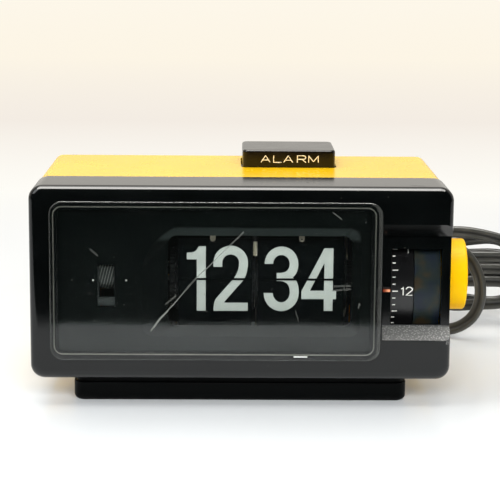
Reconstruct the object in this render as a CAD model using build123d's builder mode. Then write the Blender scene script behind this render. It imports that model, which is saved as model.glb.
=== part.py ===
"""Split-flap alarm clock: black front shell, yellow rear shell, black plinth.

Millimetres, +Z up. The origin is the middle of the plinth's flat underside. The clock
looks along -Y, and +X is to the right of someone reading it.
"""

from math import asin, cos, degrees, pi, radians, sin, sqrt, tan
import os

from build123d import *

os.makedirs("parts", exist_ok=True)

# ---------------------------------------------------------------- driving dimensions
case_width = 180.0          # front shell, over its sides
case_height = 83.6          # front shell, bottom to top
case_depth = 112.0          # front face of the front shell to the back wall
foot_height = 12.2          # table to the underside of the front shell
bezel_depth = 30.0
bezel_wall = 2.0
bezel_face = 3.0            # thickness of the front wall
bezel_corner = 6.0
bezel_edge = 3.6            # rounding round the front face
body_inset = 0.8            # rear shell is this much smaller all round
body_wall = 1.6
body_corner = 4.4
body_edge = 3.0
lip_depth = 4.0             # rear shell's lip that plugs into the front shell
lip_wall = 1.0
fit_gap = 0.1               # between shells, and round the window
running_gap = 0.06          # radial, shafts in their bushes
free_gap = 0.3              # between parts that move past each other

case_mid_z = foot_height + case_height / 2
case_top = foot_height + case_height
front_y = -case_depth / 2
back_y = case_depth / 2
tall = case_height / 83.6    # the works grow with the shell's height
right_x = case_width / 2     # and keep their places from its right side, or its left
left_x = -case_width / 2

lens_left, lens_right = left_x + 8.8, right_x - 30.2
lens_width = lens_right - lens_left
lens_height = case_height - 15.1
lens_centre_x = (lens_left + lens_right) / 2
lens_centre_z = case_mid_z + 1.15
lens_corner = 5.6
lens_proud = 1.2            # how far the pane stands out of the front face
lens_pane = 2.2
lens_rim = 2.6              # thickness of the pane's own side walls
lens_rim_depth = 5.8
lens_flange = 1.2
lens_flange_thickness = 1.6

mask_thickness = 1.5
mask_frame_depth = 4.6      # whole depth of the dished frame round the numbers
dish_left, dish_right = right_x - 132.5, right_x - 38.6
dish_bottom, dish_top = case_mid_z - 23.8 * tall, case_mid_z + 24.0 * tall
opening_left, opening_right = right_x - 121.3, right_x - 42.3
opening_bottom, opening_top = case_mid_z - 20.0 * tall, case_mid_z + 19.4 * tall
opening_corner = 3.6
dish_corner = 5.0
dish_depth = 4.1
frame_margin = 2.0
indicator_left, indicator_right = right_x - 151.2, right_x - 143.8
indicator_bottom, indicator_top = case_mid_z - 11.0 * tall, case_mid_z + 7.4 * tall

recess_left = right_x - 29.6          # thumb recess in the front shell, open at the side
recess_depth = 7.5
recess_top, recess_bottom = case_mid_z + 26.0 * tall, case_mid_z - 24.3 * tall
recess_inner_top, recess_inner_bottom = case_mid_z + 20.3 * tall, case_mid_z - 19.7 * tall
recess_chamfer_depth = 5.5
recess_wall = 2.0
drum_window_left, drum_window_right = right_x - 25.6, right_x - 3.8
drum_window_bottom, drum_window_top = case_mid_z - 18.8 * tall, case_mid_z + 14.3 * tall
groove_x, groove_width, groove_depth = right_x - 1.5, 0.9, 0.8
groove_bottom, groove_top = case_mid_z - 11.0 * tall, case_mid_z + 6.2 * tall

plinth_half_width = right_x - 17.6
plinth_setback = 10.5       # front of the plinth behind the front face
plinth_corner = 5.0
plinth_neck = 4.0           # height of the inset neck under the shell
plinth_neck_inset = 1.2
plinth_edge = 2.4
plinth_wall = 2.4
plinth_floor = 3.0

knob_radius = 15.9 * tall
knob_length = 10.1
knob_gap = 0.5              # knob to the side of the front shell
knob_edge = 1.0
shaft_radius = 2.0
drum_radius = 35.0 * tall
drum_front = 10.0           # drum behind the front face
set_axis_y = front_y + drum_front + drum_radius     # axis of the setting shaft and alarm drum
set_axis_z = case_mid_z - 3.7 * tall
drum_rim = 1.6
drum_left, drum_right = right_x - 26.7, right_x - 3.9
drum_split_x = right_x - 15.4         # dial on the left of it, grip on the right
drum_split_gap = 0.4
drum_web = 2.0
drum_hub_radius = 7.0
drum_tube_radius = 4.0

split_z = case_mid_z - 1.75 * tall    # line where upper and lower leaves meet
leaf_front_y = front_y + 20.2         # front face plane of the leaves
leaf_length = 17.8 * tall
leaf_thickness = 0.4
leaf_half_split = 0.2
hour_leaf_left, hour_leaf_right = right_x - 117.3, right_x - 85.1
minute_leaf_left, minute_leaf_right = right_x - 82.4, right_x - 44.9
pin_ring = 12.5 * tall      # leaves hang on this radius of a spool
flange_radius = 14.0 * tall
flange_thickness = 0.9
spool_hub_radius = 6.0
axle_radius = 1.5
hour_leaf_count = 24
minute_leaf_count = 60
flap_axis_z = case_mid_z - 3.5 * tall

button_left, button_right = right_x - 89.1, right_x - 46.6
button_length = 35.0 / 112.0 * case_depth
button_front_y = back_y - 9.0 - button_length
button_proud = 7.9
button_corner = 3.0
button_edge = 1.0
button_wall = 1.8
button_stroke = 3.0
button_slot_gap = 0.7
button_flange = 1.6
button_flange_thickness = 1.4
guide_wall = 1.4
spring_wire = 0.5
spring_radius = 3.0

plate_thickness = 1.2
plate_left_x = right_x - 126.0
plate_right_x = right_x - 38.0
plate_top = case_top - 7.8
rod_radius = 1.5

cord_diameter = 6.0         # over the two cores of the flat cord
cord_exit_x = right_x - 32.0
cord_exit_z = foot_height + 14.8

# ---------------------------------------------------------------- places worked out from them
bezel_back_y = front_y + bezel_depth
body_half_width = case_width / 2 - body_inset
body_height = case_height - 2 * body_inset
body_bottom = foot_height + body_inset
body_top = case_top - body_inset
body_floor = body_bottom + body_wall
body_ceiling = body_top - body_wall
inner_half_width = body_half_width - body_wall

lens_front_y = front_y - lens_proud
lens_back_y = lens_front_y + lens_rim_depth
mask_y = lens_back_y
mask_back_y = mask_y + mask_thickness

flap_angle = degrees(asin((split_z - flap_axis_z) / pin_ring))
flap_axis_y = leaf_front_y + leaf_thickness / 2 + pin_ring * cos(radians(flap_angle))
fan_radius = pin_ring + leaf_length
lower_leaf_y = leaf_front_y + leaf_thickness + free_gap
spool_gap = 0.25            # leaf side to spool flange


def facing(y):
    """Upright plane at y, seen from the front: local x is X and local y is Z."""
    return Plane.XZ.offset(-y)


def across(x):
    """Upright plane at x: local x is Y and local y is Z."""
    return Plane.YZ.offset(x)


def export(part, label):
    part.label = label
    export_step(part, f"parts/{label}.step")


# ---------------------------------------------------------------- front shell
post_radius = 2.6
post_places = (
    (-case_width / 2 + bezel_wall + 2.7, foot_height + bezel_wall + 2.7),
    (-case_width / 2 + bezel_wall + 2.7, case_top - bezel_wall - 2.4),
    (case_width / 2 - bezel_wall - 3.4, case_top - bezel_wall - 4.2),
    (recess_left - 3.4, foot_height + bezel_wall + 2.7),
)
post_bore = 1.2
post_bore_depth = 12.0
housing_back_y = front_y + recess_depth + recess_wall
recess_outline = (
    (front_y - 2, recess_top + 2 * (recess_top - recess_inner_top) / recess_chamfer_depth),
    (front_y + recess_chamfer_depth, recess_inner_top),
    (front_y + recess_depth, recess_inner_top),
    (front_y + recess_depth, recess_inner_bottom),
    (front_y - 2, recess_bottom - 2 * (recess_inner_bottom - recess_bottom) / recess_depth),
)
housing_outline = (
    (front_y + bezel_face, recess_top + recess_wall),
    (housing_back_y, recess_inner_top + recess_wall),
    (housing_back_y, recess_inner_bottom - recess_wall),
    (front_y + bezel_face, recess_bottom - recess_wall - 0.4),
)
hook_places = (left_x + 24.0, left_x + 66.0, right_x - 66.0)
hook_width = 8.0
hook_depth = 2.0
mask_half_height = lens_height / 2 + lens_flange
mask_left = lens_centre_x - lens_width / 2 - lens_flange
mask_right = lens_centre_x + lens_width / 2
hook_overlap = 1.2

with BuildPart() as front_bezel:
    with BuildSketch(facing(front_y)):
        with Locations((0, case_mid_z)):
            RectangleRounded(case_width, case_height, bezel_corner)
    extrude(amount=-bezel_depth)
    fillet(front_bezel.faces().sort_by(Axis.Y)[0].edges(), bezel_edge)
    with BuildSketch(facing(front_y + bezel_face)):
        with Locations((0, case_mid_z)):
            RectangleRounded(
                case_width - 2 * bezel_wall,
                case_height - 2 * bezel_wall,
                bezel_corner - bezel_wall,
            )
    extrude(amount=bezel_face - bezel_depth, mode=Mode.SUBTRACT)
    # walls round the thumb recess, then the recess itself
    with BuildSketch(across(mask_right + fit_gap)):
        with BuildLine():
            Polyline(*housing_outline, close=True)
        make_face()
    extrude(amount=case_width / 2 - bezel_wall - mask_right - fit_gap)
    with BuildSketch(across(recess_left)):
        with BuildLine():
            Polyline(*recess_outline, close=True)
        make_face()
    extrude(amount=case_width / 2 - recess_left + 1, mode=Mode.SUBTRACT)
    # window over the alarm drum, and the groove in the wall beside it
    with BuildSketch(facing(front_y + recess_depth - 1)):
        with Locations(
            (
                (drum_window_left + drum_window_right) / 2,
                (drum_window_bottom + drum_window_top) / 2,
            )
        ):
            Rectangle(
                drum_window_right - drum_window_left, drum_window_top - drum_window_bottom
            )
    extrude(amount=-(recess_wall + 2), mode=Mode.SUBTRACT)
    with BuildSketch(facing(front_y + recess_depth)):
        with Locations((groove_x, (groove_bottom + groove_top) / 2)):
            Rectangle(groove_width, groove_top - groove_bottom)
    extrude(amount=-groove_depth, mode=Mode.SUBTRACT)
    # opening that the window pane fits
    with BuildSketch(facing(front_y - 1)):
        with Locations((lens_centre_x, lens_centre_z)):
            RectangleRounded(
                lens_width + 2 * fit_gap, lens_height + 2 * fit_gap, lens_corner + fit_gap
            )
    extrude(amount=-(bezel_face + 2), mode=Mode.SUBTRACT)
    # screw posts
    with BuildSketch(facing(front_y + bezel_face)):
        with Locations(*post_places):
            Circle(post_radius)
    extrude(amount=bezel_face - bezel_depth)
    with BuildSketch(facing(bezel_back_y)):
        with Locations(*post_places):
            Circle(post_bore)
    extrude(amount=post_bore_depth, mode=Mode.SUBTRACT)
    # hooks that hold the dial mask from behind
    for x in hook_places:
        top_z = lens_centre_z + mask_half_height - hook_overlap
        with BuildSketch(facing(mask_back_y + fit_gap / 2)):
            with Locations((x, (top_z + case_top - bezel_wall) / 2)):
                Rectangle(hook_width, case_top - bezel_wall - top_z)
        extrude(amount=-hook_depth)
        low_z = lens_centre_z - mask_half_height + hook_overlap
        with BuildSketch(facing(mask_back_y + fit_gap / 2)):
            with Locations((x, (low_z + foot_height + bezel_wall) / 2)):
                Rectangle(hook_width, low_z - foot_height - bezel_wall)
        extrude(amount=-hook_depth)
export(front_bezel.part, "front_bezel")

# ---------------------------------------------------------------- clear window pane
with BuildPart() as window_lens:
    with BuildSketch(facing(lens_front_y)):
        with Locations((lens_centre_x, lens_centre_z)):
            RectangleRounded(lens_width, lens_height, lens_corner)
    extrude(amount=-lens_rim_depth)
    fillet(window_lens.faces().sort_by(Axis.Y)[0].edges(), 0.5)
    with BuildSketch(facing(lens_front_y + lens_pane)):
        with Locations((lens_centre_x, lens_centre_z)):
            RectangleRounded(
                lens_width - 2 * lens_rim, lens_height - 2 * lens_rim, lens_corner - lens_rim
            )
    extrude(amount=lens_pane - lens_rim_depth, mode=Mode.SUBTRACT)
    # flange behind the front wall, on every side but the recess's
    with BuildSketch(facing(lens_back_y - lens_flange_thickness)):
        with Locations(((mask_left + mask_right) / 2, lens_centre_z)):
            Rectangle(mask_right - mask_left, 2 * mask_half_height)
        with Locations((lens_centre_x, lens_centre_z)):
            RectangleRounded(
                lens_width - 2 * lens_rim,
                lens_height - 2 * lens_rim,
                lens_corner - lens_rim,
                mode=Mode.SUBTRACT,
            )
    extrude(amount=-lens_flange_thickness)
export(window_lens.part, "window_lens")


# ---------------------------------------------------------------- dial mask
def window_outline(left, right, bottom, top, corner, sweep):
    """Closed outline of the number window; sweep is the size of its upper left curve."""
    Line((left + corner, bottom), (right - corner, bottom))
    CenterArc((right - corner, bottom + corner), corner, -90, 90)
    Line((right, bottom + corner), (right, top - corner))
    CenterArc((right - corner, top - corner), corner, 0, 90)
    Line((right - corner, top), (left + sweep[0], top))
    bulge = 1 - 0.7071
    ThreePointArc(
        (left + sweep[0], top),
        (left + sweep[0] * bulge * sweep[2], top - sweep[1] * bulge),
        (left, top - sweep[1]),
    )
    Line((left, top - sweep[1]), (left, bottom + corner))
    CenterArc((left + corner, bottom + corner), corner, 180, 90)


with BuildPart() as dial_mask:
    with BuildSketch(facing(mask_y)):
        with Locations(((mask_left + mask_right) / 2, lens_centre_z)):
            Rectangle(mask_right - mask_left, 2 * mask_half_height)
    extrude(amount=-mask_thickness)
    with BuildSketch(facing(mask_y)):
        with Locations(((dish_left + dish_right) / 2, (dish_bottom + dish_top) / 2)):
            RectangleRounded(
                dish_right - dish_left + 2 * frame_margin,
                dish_top - dish_bottom + 2 * frame_margin,
                dish_corner,
            )
    extrude(amount=-mask_frame_depth)
    # dished sides that lead in to the number window
    with BuildSketch(facing(mask_y)):
        with BuildLine():
            window_outline(
                dish_left, dish_right, dish_bottom, dish_top, dish_corner, (14.5, 26.0, 1.15)
            )
        make_face()
    with BuildSketch(facing(mask_y + dish_depth)):
        with BuildLine():
            window_outline(
                opening_left,
                opening_right,
                opening_bottom,
                opening_top,
                opening_corner,
                (opening_corner, opening_corner, 1.0),
            )
        make_face()
    loft(ruled=True, mode=Mode.SUBTRACT)
    with BuildSketch(facing(mask_y + dish_depth - 0.5)):
        with BuildLine():
            window_outline(
                opening_left,
                opening_right,
                opening_bottom,
                opening_top,
                opening_corner,
                (opening_corner, opening_corner, 1.0),
            )
        make_face()
    extrude(amount=dish_depth - 0.5 - mask_frame_depth - 1, mode=Mode.SUBTRACT)
    # slot in front of the running indicator
    with BuildSketch(facing(mask_y - 1)):
        with Locations(
            (
                (indicator_left + indicator_right) / 2,
                (indicator_bottom + indicator_top) / 2,
            )
        ):
            Rectangle(
                indicator_right - indicator_left, indicator_top - indicator_bottom
            )
    extrude(amount=-(mask_thickness + 2), mode=Mode.SUBTRACT)
export(dial_mask.part, "dial_mask")

# ---------------------------------------------------------------- rear shell
shaft_hole = shaft_radius + 0.6
grommet_hole = 4.6
screw_head_radius = 2.3
screw_head_depth = 8.0      # head seat behind the joint between the shells
rear_post_radius = 3.3
vent_count = 7
vent_pitch = 5.0
vent_width, vent_height = 60.0, 2.0
button_width = button_right - button_left
button_mid_x = (button_left + button_right) / 2
button_mid_y = button_front_y + button_length / 2

with BuildPart() as rear_case:
    with BuildSketch(facing(bezel_back_y)):
        with Locations((0, case_mid_z)):
            RectangleRounded(2 * body_half_width, body_height, body_corner)
    extrude(amount=bezel_depth - case_depth)
    fillet(rear_case.faces().sort_by(Axis.Y)[-1].edges(), body_edge)
    # lip that plugs into the front shell
    with BuildSketch(facing(bezel_back_y - lip_depth)):
        with Locations((0, case_mid_z)):
            RectangleRounded(
                case_width - 2 * (bezel_wall + fit_gap),
                case_height - 2 * (bezel_wall + fit_gap),
                bezel_corner - bezel_wall - fit_gap,
            )
    extrude(amount=-(lip_depth + lip_wall))
    with BuildSketch(facing(bezel_back_y - lip_depth)):
        with Locations((0, case_mid_z)):
            RectangleRounded(
                case_width - 2 * (bezel_wall + fit_gap + lip_wall),
                case_height - 2 * (bezel_wall + fit_gap + lip_wall),
                bezel_corner - bezel_wall - fit_gap - lip_wall,
            )
    extrude(amount=-(lip_depth + lip_wall), mode=Mode.SUBTRACT)
    with BuildSketch(facing(bezel_back_y)):
        with Locations((0, case_mid_z)):
            RectangleRounded(
                2 * inner_half_width, body_height - 2 * body_wall, body_corner - body_wall
            )
    extrude(amount=-(case_depth - bezel_depth - body_wall), mode=Mode.SUBTRACT)
    # long screw posts, bored from the back
    with BuildSketch(facing(bezel_back_y)):
        with Locations(*post_places):
            Circle(rear_post_radius)
    extrude(amount=-(case_depth - bezel_depth - body_edge))
    with BuildSketch(facing(bezel_back_y + screw_head_depth)):
        with Locations(*post_places):
            Circle(screw_head_radius)
    extrude(amount=-case_depth, mode=Mode.SUBTRACT)
    with BuildSketch(facing(bezel_back_y)):
        with Locations(*post_places):
            Circle(post_bore + 0.4)
    extrude(amount=-(screw_head_depth + 1), mode=Mode.SUBTRACT)
    # the lip gives way to the front shell's posts
    with BuildSketch(facing(bezel_back_y - lip_depth)):
        with Locations(*post_places):
            Circle(post_radius + fit_gap)
    extrude(amount=-lip_depth, mode=Mode.SUBTRACT)
    # slot for the alarm button
    with BuildSketch(Plane.XY.offset(body_top + 1)):
        with Locations((button_mid_x, button_mid_y)):
            RectangleRounded(
                button_width + 2 * button_slot_gap,
                button_length + 2 * button_slot_gap,
                button_corner + button_slot_gap,
            )
    extrude(amount=-(body_wall + 2), mode=Mode.SUBTRACT)
    # hole for the setting shaft
    with BuildSketch(across(inner_half_width - 1)):
        with Locations((set_axis_y, set_axis_z)):
            Circle(shaft_hole)
    extrude(amount=body_wall + 3, mode=Mode.SUBTRACT)
    # cord hole and the slots in front of the buzzer
    with BuildSketch(facing(back_y - body_wall - 1)):
        with Locations((cord_exit_x, cord_exit_z)):
            Circle(grommet_hole)
        with Locations((-30, 60)):
            with GridLocations(0, vent_pitch, 1, vent_count):
                SlotOverall(vent_width, vent_height)
    extrude(amount=-(body_wall + 2), mode=Mode.SUBTRACT)

# ---------------------------------------------------------------- plinth
plinth_front_y = front_y + plinth_setback
plinth_back_y = back_y - plinth_setback
plinth_length = plinth_back_y - plinth_front_y
plinth_lower = foot_height - plinth_neck
plinth_screw_x = plinth_half_width - 34.4
plinth_screw_y = (-8.0, 22.0)
plinth_screws = [(x, y) for y in plinth_screw_y for x in (-plinth_screw_x + 10, plinth_screw_x)]
plinth_screw_head = 3.6
plinth_screw_shank = 1.6
plinth_post_radius = 5.0
plinth_head_depth = 5.0

with BuildPart() as base_plinth:
    with BuildSketch(Plane.XY):
        RectangleRounded(2 * plinth_half_width, plinth_length, plinth_corner)
    extrude(amount=plinth_lower)
    fillet(base_plinth.faces().sort_by(Axis.Z)[0].edges(), plinth_edge)
    with BuildSketch(Plane.XY.offset(plinth_lower)):
        RectangleRounded(
            2 * (plinth_half_width - plinth_neck_inset),
            plinth_length - 2 * plinth_neck_inset,
            plinth_corner - plinth_neck_inset,
        )
    extrude(amount=plinth_neck)
    # the rear shell's underside is a little higher than the front shell's
    neck_back_y = plinth_back_y - plinth_neck_inset
    with BuildSketch(Plane.XY.offset(foot_height)):
        with Locations((0, (bezel_back_y + neck_back_y) / 2 + fit_gap / 2)):
            Rectangle(
                2 * (plinth_half_width - plinth_neck_inset) - 2 * plinth_corner,
                neck_back_y - bezel_back_y - fit_gap,
            )
    extrude(amount=body_inset)
    with BuildSketch(Plane.XY.offset(plinth_floor)):
        RectangleRounded(
            2 * (plinth_half_width - plinth_wall - plinth_neck_inset),
            plinth_length - 2 * (plinth_wall + plinth_neck_inset),
            plinth_corner - plinth_neck_inset - 1,
        )
    extrude(amount=foot_height, mode=Mode.SUBTRACT)
    with BuildSketch(Plane.XY.offset(plinth_floor)):
        with Locations(*plinth_screws):
            Circle(plinth_post_radius)
    extrude(amount=body_bottom - plinth_floor)
    with BuildSketch(Plane.XY):
        with Locations(*plinth_screws):
            Circle(plinth_screw_head)
    extrude(amount=plinth_head_depth, mode=Mode.SUBTRACT)
    with BuildSketch(Plane.XY):
        with Locations(*plinth_screws):
            Circle(plinth_screw_shank)
    extrude(amount=body_bottom, mode=Mode.SUBTRACT)
export(base_plinth.part, "base_plinth")

# ---------------------------------------------------------------- chassis
plate_front_y = flap_axis_y - 11.0
plate_back_y = back_y - 34.0
plate_bottom = body_floor
base_front_y = bezel_back_y + 2.0
set_axis = (set_axis_y, set_axis_z)
flap_axis = (flap_axis_y, flap_axis_z)
rod_clearance = fan_radius + rod_radius + 1.0
rod_places = (
    (flap_axis_y - 6.0, flap_axis_z + sqrt(rod_clearance**2 - 36)),
    (plate_back_y - 4.0, plate_top - 4.0),
    (plate_back_y - 4.0, plate_bottom + 5.0),
)


def plate_outline():
    """Side of a chassis plate, with a foot at the bottom rear."""
    Polyline(
        (plate_front_y, flap_axis_z - 9),
        (plate_front_y, plate_top),
        (plate_back_y, plate_top),
        (plate_back_y, plate_bottom + plate_thickness),
        (base_front_y, plate_bottom + plate_thickness),
        (base_front_y, flap_axis_z - 26),
        close=True,
    )


with BuildPart() as chassis_left:
    with BuildSketch(across(plate_left_x)):
        with BuildLine():
            plate_outline()
        make_face()
        with Locations(flap_axis):
            Circle(axle_radius, mode=Mode.SUBTRACT)
        with Locations(*rod_places):
            Circle(rod_radius - 0.4, mode=Mode.SUBTRACT)
    extrude(amount=plate_thickness)
with BuildPart() as chassis_right:
    with BuildSketch(across(plate_right_x)):
        with BuildLine():
            plate_outline()
        make_face()
        with Locations(flap_axis):
            Circle(axle_radius, mode=Mode.SUBTRACT)
        with Locations(set_axis):
            Circle(drum_tube_radius, mode=Mode.SUBTRACT)
        with Locations(*rod_places):
            Circle(rod_radius - 0.4, mode=Mode.SUBTRACT)
    extrude(amount=plate_thickness)
plate_right_end = plate_right_x + plate_thickness

with BuildPart() as chassis_base:
    with BuildSketch(Plane.XY.offset(plate_bottom)):
        with Locations(
            ((plate_left_x + plate_right_end) / 2, (base_front_y + plate_back_y) / 2)
        ):
            Rectangle(plate_right_end - plate_left_x, plate_back_y - base_front_y)
        with Locations(*plinth_screws):
            Circle(plinth_screw_shank - 0.3, mode=Mode.SUBTRACT)
    extrude(amount=plate_thickness)

with BuildPart() as tie_rods:
    with BuildSketch(across(plate_left_x + plate_thickness)):
        with Locations(*rod_places):
            Circle(rod_radius)
    extrude(amount=plate_right_x - plate_left_x - plate_thickness)
    with BuildSketch(across(plate_left_x)):
        with Locations(*rod_places):
            Circle(rod_radius - 0.4)
    extrude(amount=plate_right_end - plate_left_x)
export(chassis_base.part, "chassis_base")
export(tie_rods.part, "tie_rods")

with BuildPart() as flap_axle:
    with BuildSketch(across(plate_left_x)):
        with Locations(flap_axis):
            Circle(axle_radius)
    extrude(amount=plate_right_end - plate_left_x)
export(flap_axle.part, "flap_axle")

# ---------------------------------------------------------------- spools and their gears
tooth_depth = 1.1
spool_teeth = 24
pinion_teeth = 12
lay_teeth = 72
set_distance = sqrt((set_axis_y - flap_axis_y) ** 2 + (set_axis_z - flap_axis_z) ** 2)
mesh_gap = 0.1              # tip circles stay this far apart
minute_gear_radius = (set_distance - mesh_gap) * spool_teeth / (spool_teeth + pinion_teeth)
pinion_gear_radius = (set_distance - mesh_gap) * pinion_teeth / (spool_teeth + pinion_teeth)
lay_gear_radius = minute_gear_radius * lay_teeth / spool_teeth
lay_axis_y = flap_axis_y + minute_gear_radius + lay_gear_radius + mesh_gap
lay_axis = (lay_axis_y, flap_axis_z)
lay_radius = 1.2
hour_gear_teeth = 40
flange_teeth = 40            # round the hour spool's rims, for the pinion that steps it
hour_gear_radius = flange_radius - 0.6
gear_width = 2.2
pin_hole_radius = 0.45      # in the spools' flanges, for the leaves' hinge wires


def toothed_outline(radius, teeth):
    """Face of a spur gear round the origin: a disc with a notch between every two teeth."""
    Circle(radius)
    with PolarLocations(radius, teeth):
        Rectangle(2 * tooth_depth * radius / (radius + 4), radius * 2.6 / teeth,
                  mode=Mode.SUBTRACT)


hour_left_flange_x = hour_leaf_left - spool_gap - flange_thickness
hour_right_flange_x = hour_leaf_right + spool_gap
minute_left_flange_x = minute_leaf_left - spool_gap - flange_thickness
minute_right_flange_x = minute_leaf_right + spool_gap
hour_gear_x = hour_left_flange_x - gear_width - 0.2
minute_gear_x = minute_right_flange_x + flange_thickness + 0.6
minute_gear_width = plate_right_x - 0.5 - minute_gear_x

with BuildPart() as hour_spool:
    with BuildSketch(across(hour_gear_x + gear_width)):
        with Locations(flap_axis):
            Circle(spool_hub_radius)
    extrude(amount=hour_right_flange_x + flange_thickness - hour_gear_x - gear_width)
    for x in (hour_left_flange_x, hour_right_flange_x):
        with BuildSketch(across(x)):
            with Locations(flap_axis):
                toothed_outline(flange_radius, flange_teeth)
                with PolarLocations(pin_ring, hour_leaf_count):
                    Circle(pin_hole_radius, mode=Mode.SUBTRACT)
        extrude(amount=flange_thickness)
    with BuildSketch(across(hour_gear_x)):
        with Locations(flap_axis):
            Circle(axle_radius + running_gap)
    extrude(amount=hour_right_flange_x + 10 - hour_gear_x, mode=Mode.SUBTRACT)
with BuildPart() as minute_spool:
    with BuildSketch(across(minute_left_flange_x)):
        with Locations(flap_axis):
            Circle(spool_hub_radius)
    extrude(amount=minute_gear_x - minute_left_flange_x)
    for x in (minute_left_flange_x, minute_right_flange_x):
        with BuildSketch(across(x)):
            with Locations(flap_axis):
                Circle(flange_radius)
                with PolarLocations(pin_ring, minute_leaf_count):
                    Circle(pin_hole_radius, mode=Mode.SUBTRACT)
        extrude(amount=flange_thickness)
    with BuildSketch(across(minute_left_flange_x - 1)):
        with Locations(flap_axis):
            Circle(axle_radius + running_gap)
    extrude(amount=minute_gear_x + 2 - minute_left_flange_x, mode=Mode.SUBTRACT)
with BuildPart() as hour_gear:
    with BuildSketch(across(hour_gear_x)):
        with Locations(flap_axis):
            toothed_outline(hour_gear_radius, hour_gear_teeth)
            Circle(axle_radius + running_gap, mode=Mode.SUBTRACT)
    extrude(amount=gear_width)
with BuildPart() as minute_gear:
    with BuildSketch(across(minute_gear_x)):
        with Locations(flap_axis):
            toothed_outline(minute_gear_radius, spool_teeth)
            Circle(axle_radius + running_gap, mode=Mode.SUBTRACT)
    extrude(amount=minute_gear_width)
export(hour_spool.part, "hour_spool")
export(minute_spool.part, "minute_spool")
export(hour_gear.part, "hour_gear")
export(minute_gear.part, "minute_gear")

# pinion that steps the hour spool on once for each turn of the minute spool
transfer_teeth = 8
transfer_radius = flange_radius * transfer_teeth / flange_teeth
transfer_hole = 0.8
transfer_x = hour_right_flange_x
transfer_width = minute_left_flange_x + flange_thickness - transfer_x
transfer_reach = flange_radius + transfer_radius + mesh_gap
transfer_y = flap_axis_y + transfer_reach * cos(radians(50))
transfer_z = flap_axis_z - transfer_reach * sin(radians(50))
transfer_arm = 0.5
arm_width = 3.0
with BuildPart() as transfer_pinion:
    with BuildSketch(across(transfer_x)):
        with Locations((transfer_y, transfer_z)):
            toothed_outline(transfer_radius, transfer_teeth)
            Circle(transfer_hole, mode=Mode.SUBTRACT)
    extrude(amount=transfer_width - transfer_arm - running_gap)
with BuildPart() as transfer_bracket:
    arm_x = transfer_x + transfer_width - transfer_arm
    with BuildSketch(across(arm_x)):
        with Locations((transfer_y, (transfer_z + plate_bottom + plate_thickness) / 2)):
            Rectangle(arm_width, transfer_z - plate_bottom - plate_thickness + arm_width)
    extrude(amount=transfer_arm)
    with BuildSketch(across(transfer_x)):
        with Locations((transfer_y, transfer_z)):
            Circle(transfer_hole - running_gap)
    extrude(amount=transfer_width - transfer_arm)
    split(bisect_by=Plane.XY.offset(plate_bottom + plate_thickness), keep=Keep.TOP)
export(transfer_pinion.part, "transfer_pinion")
export(transfer_bracket.part, "transfer_bracket")

# ---------------------------------------------------------------- leaves
hinge_radius = 0.5
catch_width = 2.4
catch_notch_depth = 2.0
hour_catch_x = hour_leaf_left + 15.1
minute_catch_x = minute_leaf_left + 18.9
leaf_top = split_z + leaf_half_split + leaf_length


def fan_positions(count):
    """Root point and direction, in degrees above the front, of each leaf left in a spool."""
    behind_y = lower_leaf_y + leaf_thickness + free_gap
    for step in range(count):
        angle = flap_angle + 360.0 / count * step
        root_y = flap_axis_y - pin_ring * cos(radians(angle))
        root_z = flap_axis_z + pin_ring * sin(radians(angle))
        if root_y > behind_y:
            yield root_y, root_z, min(max(angle, 90.0), 270.0)


def falling_leaf(left, right, catch_x):
    """Upper leaf with its hinge wire, and a notch where the catch finger stands."""
    with BuildPart() as leaf:
        with BuildSketch(facing(leaf_front_y)):
            with Locations(((left + right) / 2, (split_z + leaf_half_split + leaf_top) / 2)):
                Rectangle(right - left, leaf_length)
            with Locations((catch_x, leaf_top)):
                Rectangle(
                    catch_width + 2 * free_gap, 2 * catch_notch_depth, mode=Mode.SUBTRACT
                )
        extrude(amount=-leaf_thickness)
        with BuildSketch(across(left)):
            with Locations((leaf_front_y + leaf_thickness / 2, split_z)):
                Circle(hinge_radius)
        extrude(amount=right - left)
    return leaf


def lower_leaf(left, right):
    """Leaf that has fallen and shows the lower half of the number."""
    with BuildPart() as leaf:
        with BuildSketch(facing(lower_leaf_y)):
            with Locations(((left + right) / 2, split_z - leaf_half_split - leaf_length / 2)):
                Rectangle(right - left, leaf_length)
        extrude(amount=-leaf_thickness)
    return leaf


def leaf_fan(count, left, right, thickness):
    """The other leaves of a spool, upright above it, radial behind and hanging below."""
    with BuildPart() as fan:
        for root_y, root_z, angle in fan_positions(count):
            middle_y = root_y - leaf_length / 2 * cos(radians(angle))
            middle_z = root_z + leaf_length / 2 * sin(radians(angle))
            with BuildSketch(across(left)):
                with Locations(Location((middle_y, middle_z), -angle)):
                    Rectangle(leaf_length, thickness)
            extrude(amount=right - left)
    return fan


hour_falling_leaf = falling_leaf(hour_leaf_left, hour_leaf_right, hour_catch_x)
minute_falling_leaf = falling_leaf(minute_leaf_left, minute_leaf_right, minute_catch_x)
hour_lower_leaf = lower_leaf(hour_leaf_left, hour_leaf_right)
minute_lower_leaf = lower_leaf(minute_leaf_left, minute_leaf_right)
hour_leaves = leaf_fan(
    hour_leaf_count, hour_leaf_left, hour_leaf_right, 0.8 * leaf_thickness
)
minute_leaves = leaf_fan(
    minute_leaf_count, minute_leaf_left, minute_leaf_right, 0.5 * leaf_thickness
)
export(hour_falling_leaf.part, "hour_falling_leaf")
export(minute_falling_leaf.part, "minute_falling_leaf")
export(hour_lower_leaf.part, "hour_lower_leaf")
export(minute_lower_leaf.part, "minute_lower_leaf")
export(hour_leaves.part, "hour_leaves")
export(minute_leaves.part, "minute_leaves")

# ---------------------------------------------------------------- catches and glow lamp
catch_thickness = 0.4
catch_overlap = 1.5
catch_drop = 3.5            # the strip bends back this far below the rod
front_rod_y, front_rod_z = rod_places[0]


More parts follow.
